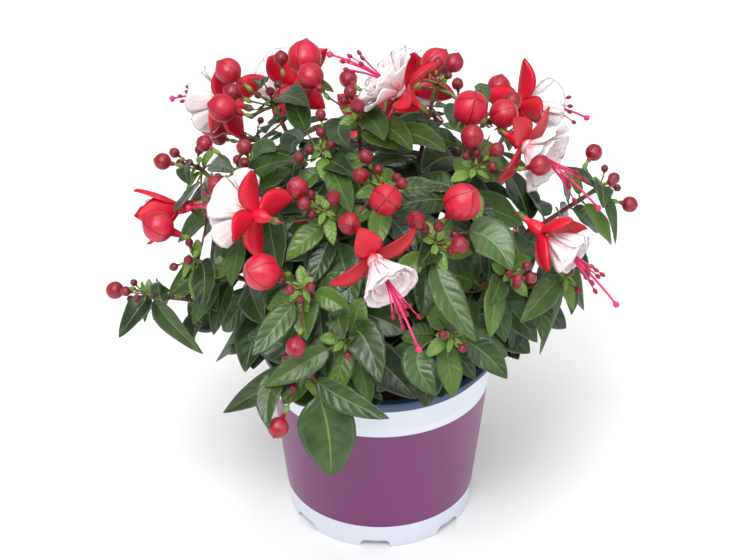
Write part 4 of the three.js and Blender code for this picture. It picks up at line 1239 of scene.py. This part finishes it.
    def add_small_buds(self, crowding: Crowding) -> None:
        """Adds the small buds that the solids leave out, and the cluster at the tip."""
        for spec in self.plan.small_buds:
            self.buds.append(self.placed_bud(spec, 0))
        draw = Draws(5000 + self.index)
        tip = self.nodes[0]
        for k in range(3):
            a = k / 3 * 2 * math.pi + draw() * 1.2
            aside = turned(tip.level, tip.steep, a)
            ball = tip.at + tip.way * (8 + 3 * draw()) + aside * (6 + 3 * draw())
            bud = Bud(tip.at, tip.at + tip.way * 4, ball, 1.9 + 0.8 * draw())
            if crowding.clear(ball[None], bud.radius):
                self.buds.append(bud)

    def add_leaves(self, crowding: Crowding) -> None:
        """Adds young leaves near the tip, a rosette at its end, and leaves that fill the crown's inside, in
        darker tones that are painted shade.
        """
        def grow(node: StemNode, turn: float, nominal: float, seed: int, youth: float, tone: float) -> None:
            """Adds a leaf in the first way that keeps clear of buds and blooms."""
            draw = Draws(seed)
            for attempt in range(PAIR_TRIES):
                leaf = self.paired_leaf(node, turn, nominal, draw, attempt)
                t = np.array([0.45, 0.6, 0.8, 1.0])[:, None]
                spine = arc_point(leaf.root, leaf.elbow, leaf.tip, t)
                if crowding.clear(spine, leaf.width * 0.3):
                    self.leaves.append(replace(leaf, youth=youth, tone=tone))
                    return

        seed = 7000 + 100 * self.index
        for level in range(FIRST_SOLID_LEVEL):
            for side in (0, 1):
                turn = math.radians(self.plan.turn + 90 * level + 180 * side)
                grow(self.nodes[level], turn, LEAF_LENGTHS[level], seed + 10 * level + side,
                     YOUTHS[level], YOUNG_TONE)
        top = self.node(0.6)
        for k in range(4):
            turn = math.radians(self.plan.turn + 45 + 90 * k)
            grow(top, turn, 9.0 - 1.5 * (k % 2), seed + 50 + k, 1.0, 0.9)
        # Inner leaves take a tone of 0.15, a dark green that is painted shade of the crown's inside.
        for level, depth in enumerate(INNER_DEPTHS):
            if depth > self.length * 0.75:
                continue
            node = self.node(depth)
            for side in (0, 1):
                turn = math.radians(self.plan.turn + 90 * (level + 4) + 180 * side)
                grow(node, turn, 46.0 - 3 * level, seed + 60 + 10 * level + side, 0.0, 0.15)
        # Filling leaves darken with depth through their tones, as painted shade.
        for level, (depth, nominal, tone) in enumerate(zip(FILL_DEPTHS, FILL_LENGTHS, FILL_SHADE_TONES)):
            if depth > self.length * 0.75 or self.node(depth).at[2] < FILL_LOWEST:
                continue
            for side in (0, 1):
                turn = math.radians(self.plan.turn + 45 + 70 * level + 180 * side)
                grow(self.node(depth), turn, nominal, seed + 3000 + 10 * level + side, 0.0, tone)

    def dress(self, finishes: Finishes) -> None:
        """Makes the shoot's stem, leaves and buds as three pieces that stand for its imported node."""
        name, node = self.plan.name, f"leafy_stem_{self.plan.name}"
        stem, foliage, heads = Patchwork(), Patchwork(), Patchwork()
        t = np.linspace(0, 1, 28)
        path = np.concatenate([[self.point(0.0) + DOWN * STEM_DEPTH], self.point(t[:, None])])
        near = np.min([np.abs(t - n.t) for n in self.nodes], axis=0) * self.length
        radii = np.concatenate([[STEM_BASE], stem_radius(t) + 0.35 * np.exp(-((near / 1.6) ** 2))])
        flush = np.concatenate([[1.0], np.interp(t, [0.0, 0.85, 1.0], [1.0, 0.85, 0.35])])
        stem.add(tube(path, radii, 9, np.stack([flush, 0 * flush, 0 * flush], -1)))
        rng = np.random.default_rng(900 + self.index)
        self.leaves = [self.toned(leaf, rng) for leaf in self.leaves]
        for big, rows, cols in ((True, 19, 11), (False, 12, 7)):
            some = [leaf for leaf in self.leaves if (leaf.width > 9) == big]
            if some:
                foliage.add(leaf_surfaces(some, rows, cols, rng.random(len(some))))
        stem.add(*(petiole(leaf, 0.5 * (1 - leaf.youth)) for leaf in self.leaves))
        for bud in self.buds:
            stalk, head = bud_surface(bud, 0.85)
            stem.add(stalk)
            heads.add(head)
        stem.piece(f"stem_{name}", finishes.stem, Slot.LEAFY_STEM, node)
        foliage.piece(f"leaves_{name}", finishes.leaf, Slot.LEAFY_STEM, node)
        heads.piece(f"buds_{name}", finishes.bud, Slot.LEAFY_STEM, node)

    @staticmethod
    def toned(leaf: Leaf, rng: np.random.Generator) -> Leaf:
        """The same leaf with a tone of its own."""
        tone = float(np.clip(leaf.tone + rng.normal(0, 0.26), 0, 1))
        youth = float(np.clip(leaf.youth + rng.normal(0, 0.08), 0, 1))
        return Leaf(leaf.root, leaf.elbow, leaf.tip, leaf.width, leaf.stalk, leaf.face, youth, tone)


@dataclass(frozen=True)
class PetalForm:
    """How one petal or sepal leaves the flower's axis, and its size."""

    angle: float
    start: float
    out: float
    lean: float
    bend: float
    length: float
    width: float
    shares: tuple[tuple[float, float], ...]
    cup: float
    thick: float
    round_end: float = 0.0
    ruffle: float = 0.0
    seed: int = 0


SEPAL_SHARES = ((0.0, 0.3), (0.2, 0.78), (0.42, 1.0), (0.68, 0.84), (0.88, 0.42), (1.0, 0.03))
PETAL_SHARES = ((0.0, 0.2), (0.25, 0.46), (0.5, 0.7), (0.8, 0.93), (1.0, 0.95))


def fan(axis: Array, angle: float) -> Array:
    """A direction square to an axis, at an angle round it."""
    side = square(UP if abs(axis[2]) < 0.9 else vec(1, 0, 0), axis)
    return turned(side, np.cross(axis, side), angle)


def petal_surface(mouth: Array, axis: Array, form: PetalForm, rows: int, cols: int) -> Surface:
    """A petal or sepal: an arc that bends away from its inner face, as wide as its shares say at each row.

    Across, it is cupped by the square of the distance from its middle. A round end shortens the rows towards
    the sides, and a ruffle is a wave across that grows with the square of the distance along.

    Args:
        mouth, axis: the flower's mouth and the way it opens.
        form: the petal's form.
        rows, cols: points along and across.

    Returns:
        The closed petal.
    """
    aside = fan(axis, form.angle)
    along, inner = turned(axis, aside, form.lean), turned(axis, aside, form.lean - math.pi / 2)
    root = mouth + axis * form.start + aside * form.out
    across = np.cross(along, inner)
    t = np.linspace(0, 1, rows)[:, None]
    v = np.linspace(-1, 1, cols)[None]
    s = t * (1 - form.round_end * np.abs(v) ** 2.4 * t)
    a = form.bend * s
    reach, fall = form.length * np.sin(a) / form.bend, form.length * (1 - np.cos(a)) / form.bend
    mid = root + along * reach[..., None] - inner * fall[..., None]
    face = inner * np.cos(a)[..., None] + along * np.sin(a)[..., None]
    shares = through([k for k, _ in form.shares], [y for _, y in form.shares], t[:, 0])
    half = form.width / 2 * shares[:, None]
    rng = np.random.default_rng(form.seed)
    waves = sum(rng.uniform(0.5, 1.0) * np.sin(math.pi * (k * v + 2 * rng.random()) + 1.5 * t)
                for k in (1.6, 2.7, 3.9))
    lift = form.cup * half * v * v + form.ruffle * t**2 * waves
    upper = mid + across * (half * v)[..., None] + face * lift[..., None]
    lower = upper - face * (form.thick * (1 - v**4) * np.ones_like(t))[..., None]
    uv = np.stack(np.broadcast_arrays(t, 0.5 + 0.5 * v), -1)
    return blades(upper[None], lower[None], uv, np.zeros((1, 2)))


@dataclass
class Bloom:
    """One flower: stalk, ovary, tube and sepals; petals; stamens and style."""

    plan: BloomPlan
    shoot: Shoot
    index: int
    closed: bool = False
    mouth: Array = field(init=False)
    axis: Array = field(init=False)
    root: Array = field(init=False)

    def __post_init__(self) -> None:
        """Works out the mouth, the axis and the stalk's foot beside the stem."""
        self.mouth = crown(*self.plan.at)
        self.axis = unit(vec(*self.plan.faces))
        ovary = self.mouth - self.axis * OVARY_BACK
        node = self.shoot.nearest(ovary, 16)
        self.root = node.at + square(ovary - node.at, node.way) * float(stem_radius(node.t)) * 0.7

    def crowd(self, crowding: Crowding) -> None:
        """Notes the room that the flower takes."""
        for by, radius in ((-8, 5), (3, 11), (12, 13), (22, 14)):
            crowding.put(self.mouth + self.axis * by, radius * (0.6 if self.closed else 1.0))

    def calyx(self) -> Patchwork:
        """The stalk, ovary and tube as one smooth profile, and the four sepals."""
        def back(by: float) -> Array:
            """A point behind the mouth."""
            return self.mouth - self.axis * by

        elbow = back(max(OVARY_BACK, 0.6 * float(np.linalg.norm(self.root - self.mouth))))
        arc = [arc_point(self.root, elbow, back(OVARY_BACK), t) for t in (0.0, 0.4)]
        corners = np.array([*arc, back(17), back(15), back(13), back(11), back(6), back(2), back(-0.6)])
        knots = np.concatenate([[0], np.cumsum(np.linalg.norm(np.diff(corners, axis=0), axis=1))])
        s = np.concatenate([np.linspace(0, knots[2], 8)[:-1], np.linspace(knots[2], knots[-1], 17)])
        path = through(knots, corners, s)
        radii = through(knots, [0.62, 0.6, 0.75, 2.0, 1.95, 1.55, 3.35, 3.6, 3.2], s)
        far = knots[-1] - 0.6 - s
        ovary = np.interp(far, [11.2, 12.2, 16.2, 17.2], [0, 1, 1, 0])
        stalk = np.interp(far, [15.8, 17.0], [0, 1])
        work = Patchwork()
        work.add(tube(path, radii, 14, np.stack([ovary, stalk, 0 * s], -1)))
        for k, more in enumerate(SEPAL_LEANS):
            lean, curl = math.radians(self.plan.lean + more), math.radians(self.plan.curl)
            form = PetalForm(math.radians(self.plan.turn + 90 * k), -1.4, 1.6, lean, curl, SEPAL_LENGTH,
                             SEPAL_WIDTH + 0.8, SEPAL_SHARES, 0.3, 0.9, 0.0, 0.25, 10 * self.index + k)
            work.add(petal_surface(self.mouth, self.axis, form, 16, 9))
        return work

    def corolla(self) -> Patchwork:
        """Four broad outer petals, four inner ones and four small ones, round a short seat."""
        work = Patchwork()
        seat = np.array([self.mouth + self.axis * by for by in (0.0, 1.0, 2.0, PETAL_SEAT)])
        work.add(tube(seat, np.array([3.4, 4.0, 4.2, 3.6]), 12, np.zeros(3)))
        wide, size = math.radians(self.plan.open), 0.72 if self.closed else 1.0
        rings = (
            (4, 45, 1.3, 2.6, wide, 0.35, 1.06, 1.24, 0.7),
            (4, 0, 1.3, 2.1, wide * 0.72, 0.3, 1.0, 1.12, 0.7),
            (4, 20, 1.3, 1.7, wide * 0.4, 0.3, 0.84, 0.85, 0.6),
        )
        for ring, (count, turn, start, out, lean, bend, length, width, ruffle) in enumerate(rings):
            for k in range(count):
                seed = 1000 + 100 * self.index + 10 * ring + k
                form = PetalForm(math.radians(self.plan.turn + turn + 90 * k), start, out, lean, bend,
                                 PETAL_LENGTH * length * size, PETAL_WIDTH * width * size, PETAL_SHARES,
                                 0.32, 0.4, 0.2, ruffle, seed)
                work.add(petal_surface(self.mouth, self.axis, form, 13, 13))
        return work

    def stamens(self) -> Patchwork:
        """Eight threads with dark anthers, and the long style with its knob."""
        work = Patchwork()
        start = self.mouth + self.axis * (PETAL_SEAT + GAP)
        t = np.linspace(0, 1, 12)[:, None]
        path = start + self.axis * STYLE_LENGTH * t + DOWN * STYLE_LENGTH * 0.22 * t * t
        work.add(tube(path, np.linspace(0.75, 0.6, 12), 8, np.zeros(3)))
        way = unit(path[-1] - path[-2])
        knob = path[-1] + way * np.linspace(-0.6, 3.0, 7)[:, None]
        swell = np.array([0, 0, 0.5, 1, 1, 1, 0.5])[:, None]
        lobes = 1 + 0.14 * np.cos(np.arange(12) / 12 * 8 * math.pi)[None] * swell
        work.add(tube(knob, np.array([0.6, 0.9, 1.45, 1.75, 1.7, 1.35, 0.6]), 12, np.array([0.0, 1.0, 0.0]),
                      shape=lobes))
        rng = np.random.default_rng(300 + self.index)
        for k in range(8):
            aside = fan(self.axis, 0.9 + k * 2 * math.pi / 8 + rng.uniform(-0.2, 0.2))
            length = (25 + 3 * (k % 3)) * rng.uniform(0.92, 1.06)
            spread = rng.uniform(0.12, 0.24)
            t = np.linspace(0, 1, 9)[:, None]
            drop = DOWN * length * 0.12 * t * t
            path = start + self.axis * length * t + aside * length * spread * t * t + drop
            work.add(tube(path, np.linspace(0.42, 0.36, 9), 6, np.zeros(3)))
            way = unit(path[-1] - path[-2])
            tip = path[-1] + way * np.linspace(-0.3, 3.0, 6)[:, None]
            work.add(tube(tip, np.array([0.4, 0.9, 1.15, 1.1, 0.85, 0.35]), 8, np.array([1.0, 0.0, 0.0])))
        return work

    def dress(self, finishes: Finishes) -> None:
        """Makes the flower's pieces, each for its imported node."""
        name = self.plan.name
        self.calyx().piece(f"calyx_{name}", finishes.sepal, Slot.CALYX, f"bloom_{name}_calyx")
        corolla = () if self.closed else (f"bloom_{name}_corolla",)
        self.corolla().piece(f"petals_{name}", finishes.petal, Slot.COROLLA, *corolla)
        if not self.closed:
            self.stamens().piece(f"stamens_{name}", finishes.stamen, Slot.STAMENS, f"bloom_{name}_stamens")


# Pot and soil


def wall_radius(z: float | Array) -> float | Array:
    """The outer radius of the pot's tapered wall at a height."""
    return FOOT_RADIUS + (NECK_RADIUS - FOOT_RADIUS) * z / (POT_HEIGHT - LIP_HEIGHT)


def turned_surface(profile: Sequence[tuple[float, float]], sides: int) -> Surface:
    """A closed solid of revolution: each point of the profile is a ring of its radius at its height."""
    rings = np.array(profile, float)
    path = np.stack([0 * rings[:, 1], 0 * rings[:, 1], rings[:, 1]], -1)
    angle = np.arange(sides) * (2 * math.pi / sides)
    spoke = np.stack([np.cos(angle), np.sin(angle), 0 * angle], -1)
    return capped(path[:, None] + spoke[None] * rings[:, 0][:, None, None], path[[0, -1]])


@dataclass
class Pot:
    """A thin tapered pot with a rolled lip, on a foot with seven notches and a drain hole over each."""

    sides: int = 168
    step_height: float = 88.0

    def profile(self) -> list[tuple[float, float]]:
        """Radii and heights from the middle of the underside, up the outside and down the inside."""
        low = POT_HEIGHT - LIP_HEIGHT
        corner = [(math.cos(a), math.sin(a)) for a in np.linspace(-math.pi / 2, 0, 5)]
        foot = [(FOOT_RADIUS - 1 + 1.0 * c, 1.0 + 1.0 * s) for c, s in corner]
        outer = [(wall_radius(z), z) for z in (12.0, self.step_height - 1.2)]
        step = [(wall_radius(self.step_height) + 0.5, self.step_height - 0.5),
                (wall_radius(self.step_height) + 0.5, low - 1.2), (wall_radius(low) + 0.4, low - 0.3)]
        lip = [(LIP_RADIUS - 0.5, low), (LIP_RADIUS, low + 0.4), (LIP_RADIUS, POT_HEIGHT - 1.0),
               (LIP_RADIUS - 0.4, POT_HEIGHT - 0.3), (LIP_RADIUS - 1.2, POT_HEIGHT),
               (NECK_RADIUS - WALL + 0.6, POT_HEIGHT), (NECK_RADIUS - WALL, POT_HEIGHT - 0.6)]
        inside = [(wall_radius(FLOOR) - WALL, FLOOR), (PAD_RADIUS + 1.5, FLOOR), (PAD_RADIUS - 1, PAD_FLOOR),
                  (0.5, PAD_FLOOR)]
        return [(0.5, 0.0), (PAD_RADIUS, 0.0), *foot, *outer, *step, *lip, *inside]

    def channels(self) -> Iterable[Surface]:
        """The seven channels under the foot."""
        half = [(NOTCH_HALF_WIDTH + 1.8, -1.0), (NOTCH_HALF_WIDTH + 0.3, NOTCH_HEIGHT - 1.6),
                (NOTCH_HALF_WIDTH - 0.7, NOTCH_HEIGHT - 0.4), (NOTCH_HALF_WIDTH - 2.2, NOTCH_HEIGHT)]
        outline = np.array([*half, *[(-x, y) for x, y in reversed(half)]])
        for k in range(FOOT_NOTCHES):
            a = math.radians(NOTCH_AZIMUTH + k * 360 / FOOT_NOTCHES - 90)
            out, aside = vec(math.cos(a), math.sin(a), 0), vec(-math.sin(a), math.cos(a), 0)
            ends = np.array([PAD_RADIUS + 4, FOOT_RADIUS + 8.0])
            ring = aside * outline[:, :1] + UP * outline[:, 1:]
            rows = out * ends[:, None, None] + ring[None]
            yield capped(rows, rows.mean(1))

    def drains(self) -> Iterable[Surface]:
        """The seven drain holes."""
        for k in range(FOOT_NOTCHES):
            a = math.radians(NOTCH_AZIMUTH + k * 360 / FOOT_NOTCHES - 90)
            hole = turned_surface([(DRAIN_RADIUS, -2.0), (DRAIN_RADIUS, 3 * FLOOR)], 24)
            hole.points = hole.points + DRAIN_REACH * vec(math.cos(a), math.sin(a), 0)
            yield hole

    def dress(self, finishes: Finishes) -> Thing:
        """Makes the pot, cuts its foot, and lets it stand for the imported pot."""
        def raw(name: str, surfaces: Iterable[Surface]) -> Thing:
            """A plain object of some surfaces."""
            work = Patchwork(list(surfaces))
            return work.piece(name, finishes.pot, Slot.POT)

        body = raw("nursery_pot", [turned_surface(self.profile(), self.sides)])
        tools = [raw("channels", self.channels()), raw("drains", self.drains())]
        for tool in tools:
            cut = body.modifiers.new(tool.name, "BOOLEAN")
            cut.operation, cut.solver, cut.object = "DIFFERENCE", "EXACT", tool
        bpy.context.view_layer.update()
        mesh = bpy.data.meshes.new_from_object(body.evaluated_get(bpy.context.evaluated_depsgraph_get()))
        body.modifiers.clear()
        body.data = mesh
        for tool in tools:
            bpy.data.objects.remove(tool)
        mesh.polygons.foreach_set("use_smooth", np.ones(len(mesh.polygons), bool))
        mesh.set_sharp_from_angle(angle=math.radians(32))
        return stand(body, finishes.pot, Slot.POT, "pot")


@dataclass
class Soil:
    """Crumbly potting mix: a lumpy surface, loose crumbs and a few white stones."""

    crumbs: int = 1500
    stones: int = 16
    rings: int = 46
    sides: int = 120

    @staticmethod
    def height(x: Array, y: Array) -> Array:
        """The soil's height: a slight dome, broad lumps and two finer sets of ripples."""
        lump = np.sin(0.31 * x + 1.7) * np.sin(0.37 * y + 0.4) + 0.5 * np.sin(0.8 * x + 0.9 * y)
        fine = np.sin(1.3 * x + 0.7 * y + 0.5) * np.sin(1.1 * y - 0.9 * x)
        fine = fine + 0.7 * np.sin(2.3 * x) * np.sin(2.6 * y + 1)
        dome = SOIL_TOP + 0.8 - 1.3 * (np.hypot(x, y) / 59) ** 2
        return dome + 0.8 * lump + 0.35 * fine

    def bed(self) -> Surface:
        """The body of the soil, from its surface down to its underside."""
        edge = float(wall_radius(SOIL_TOP)) - WALL - 0.35
        radius = np.linspace(0.4, edge, self.rings)
        angle = np.arange(self.sides) * (2 * math.pi / self.sides)
        x, y = radius[:, None] * np.cos(angle), radius[:, None] * np.sin(angle)
        top = np.stack([x, y, self.height(x, y)], -1)
        low = FLOOR + GAP
        foot = float(wall_radius(low)) - WALL - 0.6
        wall = np.stack([foot * np.cos(angle), foot * np.sin(angle), np.full(self.sides, low)], -1)[None]
        rows = np.concatenate([wall * np.array([0.01, 0.01, 1.0]), wall, top[::-1]])
        return capped(rows, np.array([vec(0, 0, low), vec(0, 0, float(top[0, :, 2].mean()))]), BED_LIGHT)

    def bits(self, centres: Array, sizes: Array, light: Array, stone: float, seed: int) -> Surface:
        """Small uneven lumps: each is a stretched and dented ball of 24 faces, turned its own way.

        Args:
            centres, sizes: where each lump lies and its three half sizes.
            light: how light each is.
            stone: 1 for white stones.
            seed: starts the draws.

        Returns:
            All the lumps as one surface.
        """
        rng = np.random.default_rng(seed)
        n, sides = len(centres), 6
        polar = np.array([0.62, 1.55, 2.5])
        angle = np.arange(sides) * (2 * math.pi / sides)
        ring = np.stack([np.sin(polar)[:, None] * np.cos(angle), np.sin(polar)[:, None] * np.sin(angle),
                         np.cos(polar)[:, None] * np.ones(sides)], -1).reshape(-1, 3)
        ball = np.concatenate([ring, [[0, 0, 1], [0, 0, -1]]])
        spots = ball[None] * rng.uniform(0.72, 1.2, (n, len(ball), 1)) * sizes[:, None]
        spin, tilt = rng.uniform(0, 2 * math.pi, n), rng.uniform(-0.7, 0.7, n)
        c, s, ct, st = np.cos(spin), np.sin(spin), np.cos(tilt), np.sin(tilt)
        turn = np.stack([np.stack([c, -s * ct, s * st], -1), np.stack([s, c * ct, -c * st], -1),
                         np.stack([0 * c, st, ct], -1)], 1)
        points = np.einsum("nij,nkj->nki", turn, spots) + centres[:, None]
        grid = np.arange(3 * sides).reshape(3, sides)
        quads = grid_quads(np.concatenate([grid, grid[:, :1]], 1))[:, ::-1]
        tris = np.concatenate([np.stack([grid[k], np.roll(grid[k], -1), np.full(sides, pole)], 1)[:, ::way]
                               for k, pole, way in ((0, 3 * sides, 1), (2, 3 * sides + 1, -1))])
        step = (np.arange(n) * len(ball))[:, None, None]
        tint = np.zeros((n, len(ball), 4))
        tint[..., 0], tint[..., 1], tint[..., 3] = light[:, None], stone, 1
        all_quads, all_tris = (quads[None] + step).reshape(-1, 4), (tris[None] + step).reshape(-1, 3)
        return Surface(points.reshape(-1, 3), all_quads, np.zeros((len(all_quads), 4, 2)),
                       tint.reshape(-1, 4), all_tris, np.zeros((len(all_tris), 3, 2)))

    def dress(self, finishes: Finishes) -> None:
        """Makes the bed, which stands for the packed soil, and the loose crumbs and stones on it."""
        bed = Patchwork([self.bed()])
        bed.piece("soil_bed", finishes.soil, Slot.SOIL, "soil")
        rng = np.random.default_rng(77)
        reach, angle = 57.5 * np.sqrt(rng.random(self.crumbs)), rng.uniform(0, 2 * math.pi, self.crumbs)
        x, y = reach * np.cos(angle), reach * np.sin(angle)
        size = 0.5 + 1.3 * rng.random(self.crumbs) ** 3
        sizes = size[:, None] * np.stack([np.ones(self.crumbs), rng.uniform(0.5, 1, self.crumbs),
                                          rng.uniform(0.4, 0.8, self.crumbs)], -1)
        long = rng.random(self.crumbs) < 0.12
        sizes[long] *= np.array([2.2, 0.6, 0.6])
        light = np.where(long, 1.0, rng.random(self.crumbs) ** 2.5)
        z = self.height(x, y) + 0.3 * sizes[:, 2]
        loose = Patchwork([self.bits(np.stack([x, y, z], -1), sizes, light, 0.0, 78)])
        reach, angle = 54 * np.sqrt(rng.random(self.stones)), rng.uniform(0, 2 * math.pi, self.stones)
        x, y = reach * np.cos(angle), reach * np.sin(angle)
        size = rng.uniform(0.7, 1.5, self.stones)
        x[0], y[0], size[0] = WHITE_STONE
        places = np.stack([x, y, self.height(x, y) + 0.4 * size], -1)
        spans = size[:, None] * np.array([1.0, 0.9, 0.8])
        loose.add(self.bits(places, spans, np.zeros(self.stones), 1.0, 79))
        loose.piece("soil_crumbs", finishes.soil, Slot.SOIL)


# The scene


@dataclass
class Studio:
    """The pale floor, the soft lights and the camera at the photograph's angle."""

    distance: float = 1300.0
    elevation: float = 32.8
    target_height: float = 142.46
    sideways: float = -2.7
    lens: float = 116.6

    def build(self, finishes: Finishes) -> None:
        """Makes the floor, the lights, the world and the camera."""
        half = 6.0
        mesh = bpy.data.meshes.new("floor")
        corners = [(-half, -half, 0), (half, -half, 0), (half, half, 0), (-half, half, 0)]
        mesh.from_pydata(corners, [], [(0, 1, 2, 3)])
        floor = bpy.data.objects.new("floor", mesh)
        bpy.context.scene.collection.objects.link(floor)
        mesh.materials.append(finishes.floor)
        for name, place, size, power in (("key_light", (-0.4, -1.15, 1.85), 1.1, 38.0),
                                         ("fill_light", (1.2, -1.2, 1.3), 1.6, 10.0),
                                         ("top_light", (0.05, 0.1, 2.0), 1.8, 18.0)):
            lamp = bpy.data.lights.new(name, "AREA")
            lamp.size, lamp.energy = size, power
            light = bpy.data.objects.new(name, lamp)
            light.location = place
            light.rotation_euler = aim(np.array(place), vec(0, 0, 0.14))
            bpy.context.scene.collection.objects.link(light)
        world = bpy.data.worlds.new("studio")
        world.use_nodes = True
        world.node_tree.nodes["Background"].inputs["Color"].default_value = (1, 1, 1, 1)
        world.node_tree.nodes["Background"].inputs["Strength"].default_value = 0.42
        bpy.context.scene.world = world
        bpy.context.scene.view_settings.view_transform = "Standard"
        self.camera()

    def camera(self) -> None:
        """The camera, as far and as high as the photograph's."""
        e = math.radians(self.elevation)
        target = vec(self.sideways, 0, self.target_height) * MM
        place = target + self.distance * MM * vec(0, -math.cos(e), math.sin(e))
        data = bpy.data.cameras.new("camera")
        data.lens, data.sensor_width = self.lens, 36.0
        camera = bpy.data.objects.new("camera", data)
        camera.location = place
        camera.rotation_euler = aim(place, target)
        bpy.context.scene.collection.objects.link(camera)
        bpy.context.scene.camera = camera
        LOG.info("camera at %s", np.round(place, 3))


def aim(place: Array, target: Array) -> tuple[float, float, float]:
    """The turn of a lamp or camera that looks from a place at a target, with its top upwards."""
    x, y, z = target - place
    return (math.atan2(math.hypot(x, y), -z), 0.0, math.atan2(-x, y))


@dataclass
class PottedFuchsia:
    """The whole plant in its pot."""

    finishes: Finishes
    shoots: dict[str, Shoot] = field(init=False)
    blooms: list[Bloom] = field(init=False)
    crowding: Crowding = field(default_factory=Crowding)

    def __post_init__(self) -> None:
        """Finds every shoot and bloom again, then adds what the solids leave out."""
        self.shoots = {plan.name: Shoot(plan, i) for i, plan in enumerate(SHOOTS)}
        self.blooms = [Bloom(plan, self.shoots[plan.on], i) for i, plan in enumerate(BLOOMS)]
        self.blooms.append(Bloom(HALF_OPEN, self.shoots[HALF_OPEN.on], len(BLOOMS), True))
        for bloom in self.blooms:
            bloom.crowd(self.crowding)
        for shoot in self.shoots.values():
            shoot.find(self.crowding)
        found = [sum(len(getattr(s, kind)) for s in self.shoots.values()) for kind in ("leaves", "buds")]
        LOG.info("found %d leaves and %d buds in the packed nodes", *found)
        for shoot in self.shoots.values():
            shoot.add_small_buds(self.crowding)
            shoot.add_leaves(self.crowding)
        for spec in EXTRA_LEAVES:
            self.add_extra_leaf(spec, 1)
        self.add_extra_leaf(TWISTED_LEAF, -1)
        LOG.info("with the added ones %d leaves and %d buds",
                 *[sum(len(getattr(s, kind)) for s in self.shoots.values()) for kind in ("leaves", "buds")])

    def add_extra_leaf(self, spec: Sequence[float], side: int) -> None:
        """Adds a placed leaf that the solids leave out to the shoot whose node is nearest to its base.

        Args:
            spec: its place, as for the large leaves.
            side: 1 if it shows its face, -1 if it is twisted and shows its underside.
        """
        base = crown(*spec[:2], LEAF_BASE_REACH + spec[5])
        shoot = min(self.shoots.values(),
                    key=lambda s: min(float(np.linalg.norm(n.at - base)) for n in s.nodes))
        leaf = shoot.large_leaf(spec, 0)
        shoot.leaves.append(replace(leaf, tone=EXTRA_TONE, face=side * leaf.face))

    def dress(self) -> None:
        """Makes every piece."""
        Pot().dress(self.finishes)
        Soil().dress(self.finishes)
        for shoot in self.shoots.values():
            shoot.dress(self.finishes)
        for bloom in self.blooms:
            bloom.dress(self.finishes)


def main() -> None:
    """Builds the scene."""
    logging.basicConfig(level=logging.INFO, format="%(message)s")
    finishes = Finishes()
    Studio().build(finishes)
    PottedFuchsia(finishes).dress()


if __name__ == "__main__":
    main()
